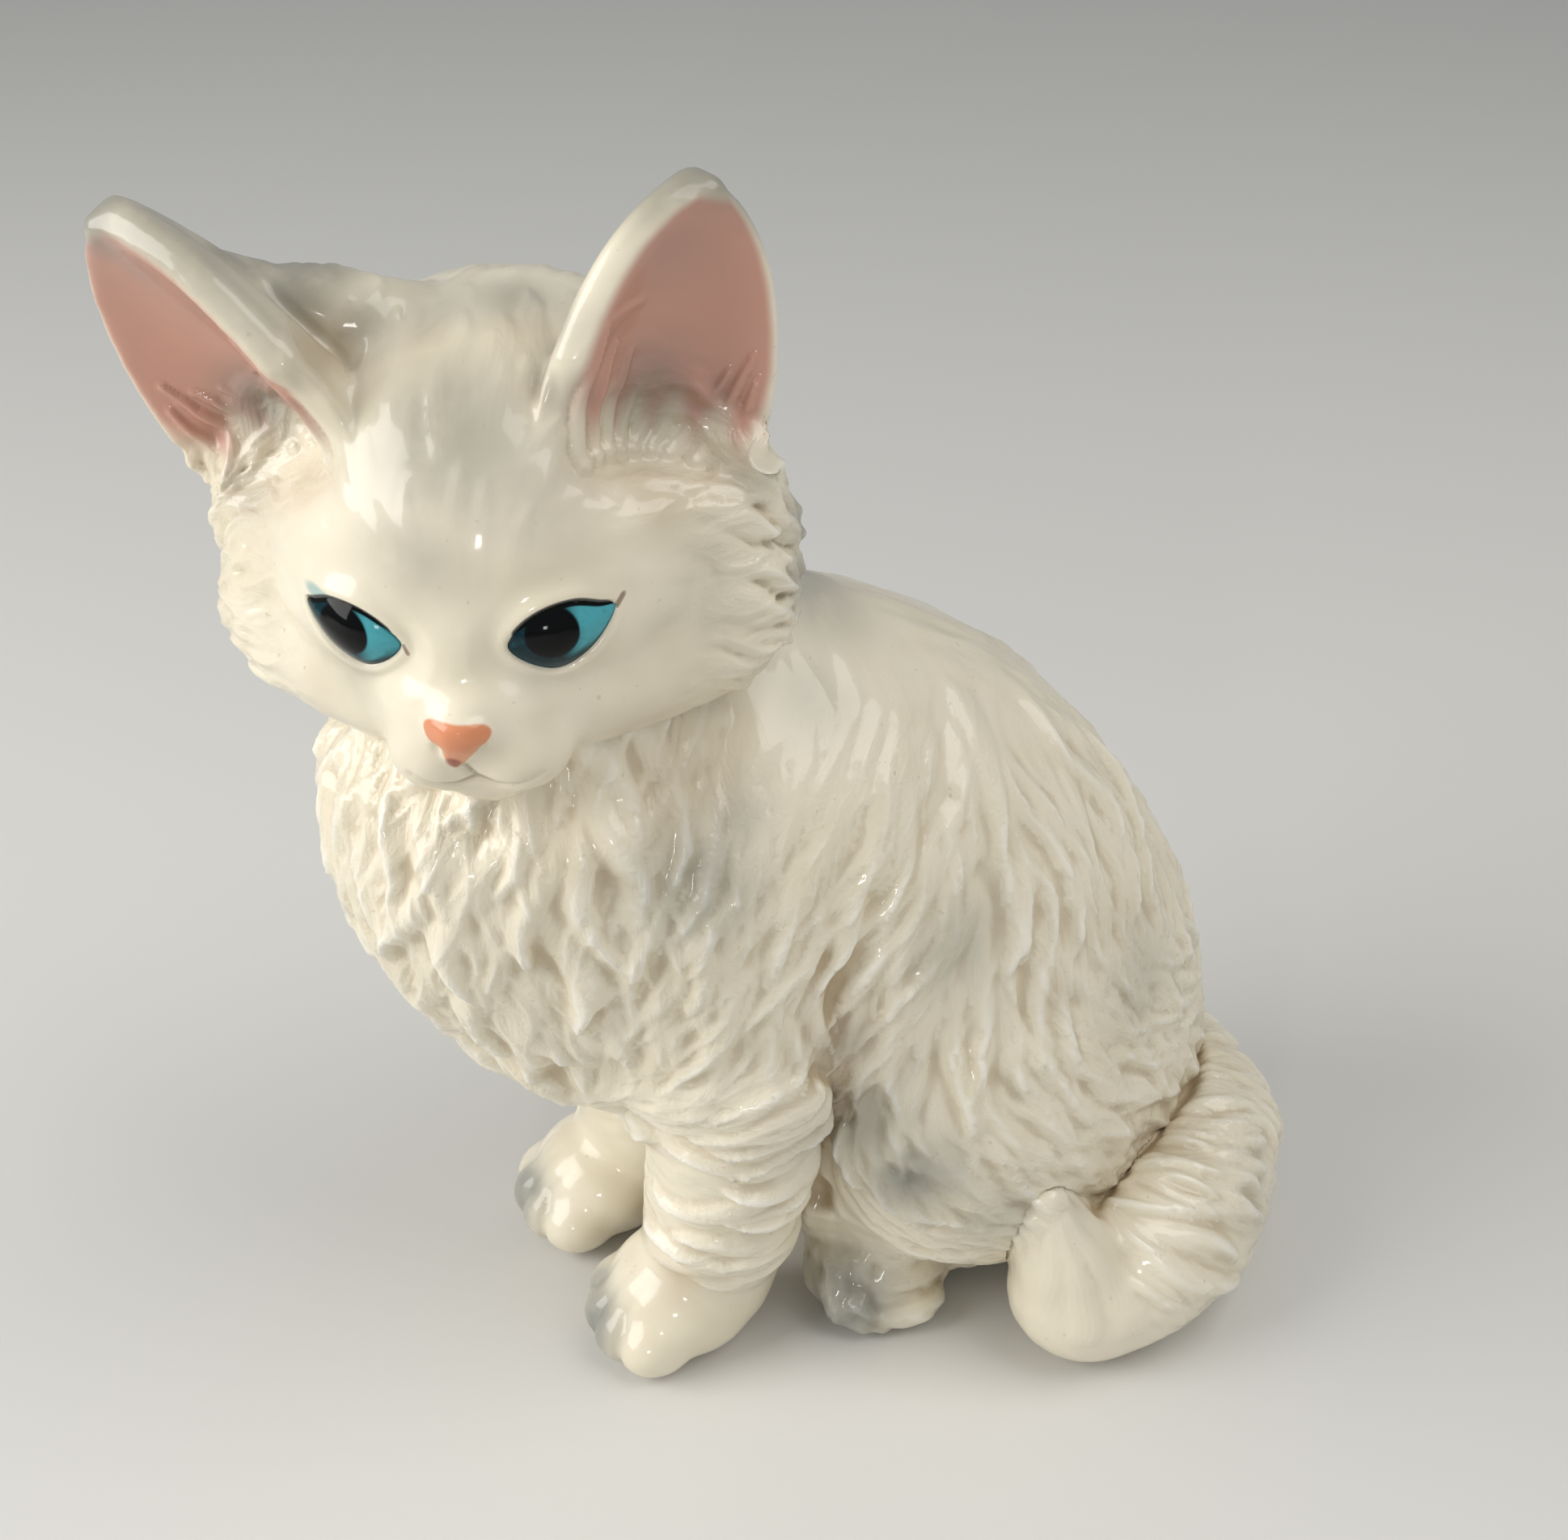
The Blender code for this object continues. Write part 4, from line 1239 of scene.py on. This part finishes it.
def close_edge(piece):
    """The cut edge is turned in, under its neighbour, and closed there. The painted face and the seam are
    kept out of the group of points that may be thinned."""
    bpy.ops.mesh.select_non_manifold(
        extend=False,
        use_wire=False,
        use_multi_face=False,
        use_non_contiguous=False,
        use_verts=False,
    )
    bpy.ops.mesh.extrude_edges_move()
    bpy.ops.object.mode_set(mode="OBJECT")
    worked = fetch(piece.data.attributes["worked_normal"].data, "vector", 3)
    turned = np.array([vert.select for vert in piece.data.vertices])
    for index in np.flatnonzero(turned).tolist():
        piece.data.vertices[index].co -= Vector(worked[index]) * TURN_IN * MM
    links = fetch(piece.data.edges, "vertices", 2, np.int32)
    seam = turned.copy()
    seam[links[turned[links].any(axis=1)].ravel()] = True
    painted = fetch(piece.data.attributes["keep"].data, "value") >= 0.5
    thinned = piece.vertex_groups.new(name="thinned")
    thinned.add(np.flatnonzero(~painted & ~seam).tolist(), 1.0, "REPLACE")
    bpy.ops.object.mode_set(mode="EDIT")
    bpy.ops.mesh.select_all(action="SELECT")
    bpy.ops.mesh.fill_holes(sides=0)
    bpy.ops.object.mode_set(mode="OBJECT")


def part_out(whole, owner, names, material):
    """Cut the worked skin into its castings, each closed, with the light still running over the seams."""
    mesh = whole.data
    normals = fetch(mesh.vertex_normals, "vector", 3)
    kept = mesh.attributes.new("worked_normal", "FLOAT_VECTOR", "POINT")
    kept.data.foreach_set("vector", normals.ravel())
    corners = fetch(mesh.loops, "vertex_index", kind=np.int32)
    face_owner = owner[corners[fetch(mesh.polygons, "loop_start", kind=np.int32)]]
    for number, name in enumerate(names):
        piece = cut_out(whole, face_owner == number, name + "_skin")
        close_edge(piece)
        piece.data.calc_loop_triangles()
        if len(piece.data.loop_triangles) > MOST_TRIANGLES:
            thin = piece.modifiers.new("Thin", "DECIMATE")
            thin.ratio = MOST_TRIANGLES / len(piece.data.loop_triangles)
            thin.vertex_group = "thinned"
            bpy.ops.object.modifier_apply(modifier=thin.name)
        piece.vertex_groups.clear()
        bpy.ops.object.shade_smooth()
        worked = piece.data.attributes["worked_normal"]
        piece.data.normals_split_custom_set_from_vertices(fetch(worked.data, "vector", 3).tolist())
        piece.data.attributes.remove(piece.data.attributes["worked_normal"])
        piece.data.materials.clear()
        piece.data.materials.append(material)
        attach(piece, "root")
        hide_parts(name)
    bpy.data.objects.remove(whole)


beads = [eye_bead(side, eye_radii[side]) for side in (1, -1)]
body_owner = body_skin.castings(body_owner, len(BODY_PARTS), 90)
head_owner = head_skin.castings(head_owner, len(HEAD_PARTS), 6)
settle(body, np.eye(3), np.zeros(3))
settle(head, HEAD_SPIN, HEAD_CENTRE)
part_out(body, body_owner, BODY_PARTS, glazed_porcelain("glazed_porcelain", "#6E7472"))
head_glaze = glazed_porcelain("painted_porcelain", "#74746B", EAR_LININGS, FACE_PAINTS)
part_out(head, head_owner, HEAD_PARTS, head_glaze)
enamel = eye_enamel()
for bead in beads:
    settle(bead, HEAD_SPIN, HEAD_CENTRE)
    bead.data.materials.append(enamel)
    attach(bead, "root")

bpy.ops.object.select_all(action="DESELECT")
bpy.ops.mesh.primitive_plane_add(size=3, location=(0, 0, 0))
floor = bpy.context.object
floor.name = "floor"
pale_floor = bpy.data.materials.new("pale_floor")
pale_floor.use_nodes = True
floor_shader = pale_floor.node_tree.nodes["Principled BSDF"]
floor_shader.inputs["Base Color"].default_value = hex_colour("#D6D5D1")
floor_shader.inputs["Roughness"].default_value = 0.7
floor.data.materials.append(pale_floor)
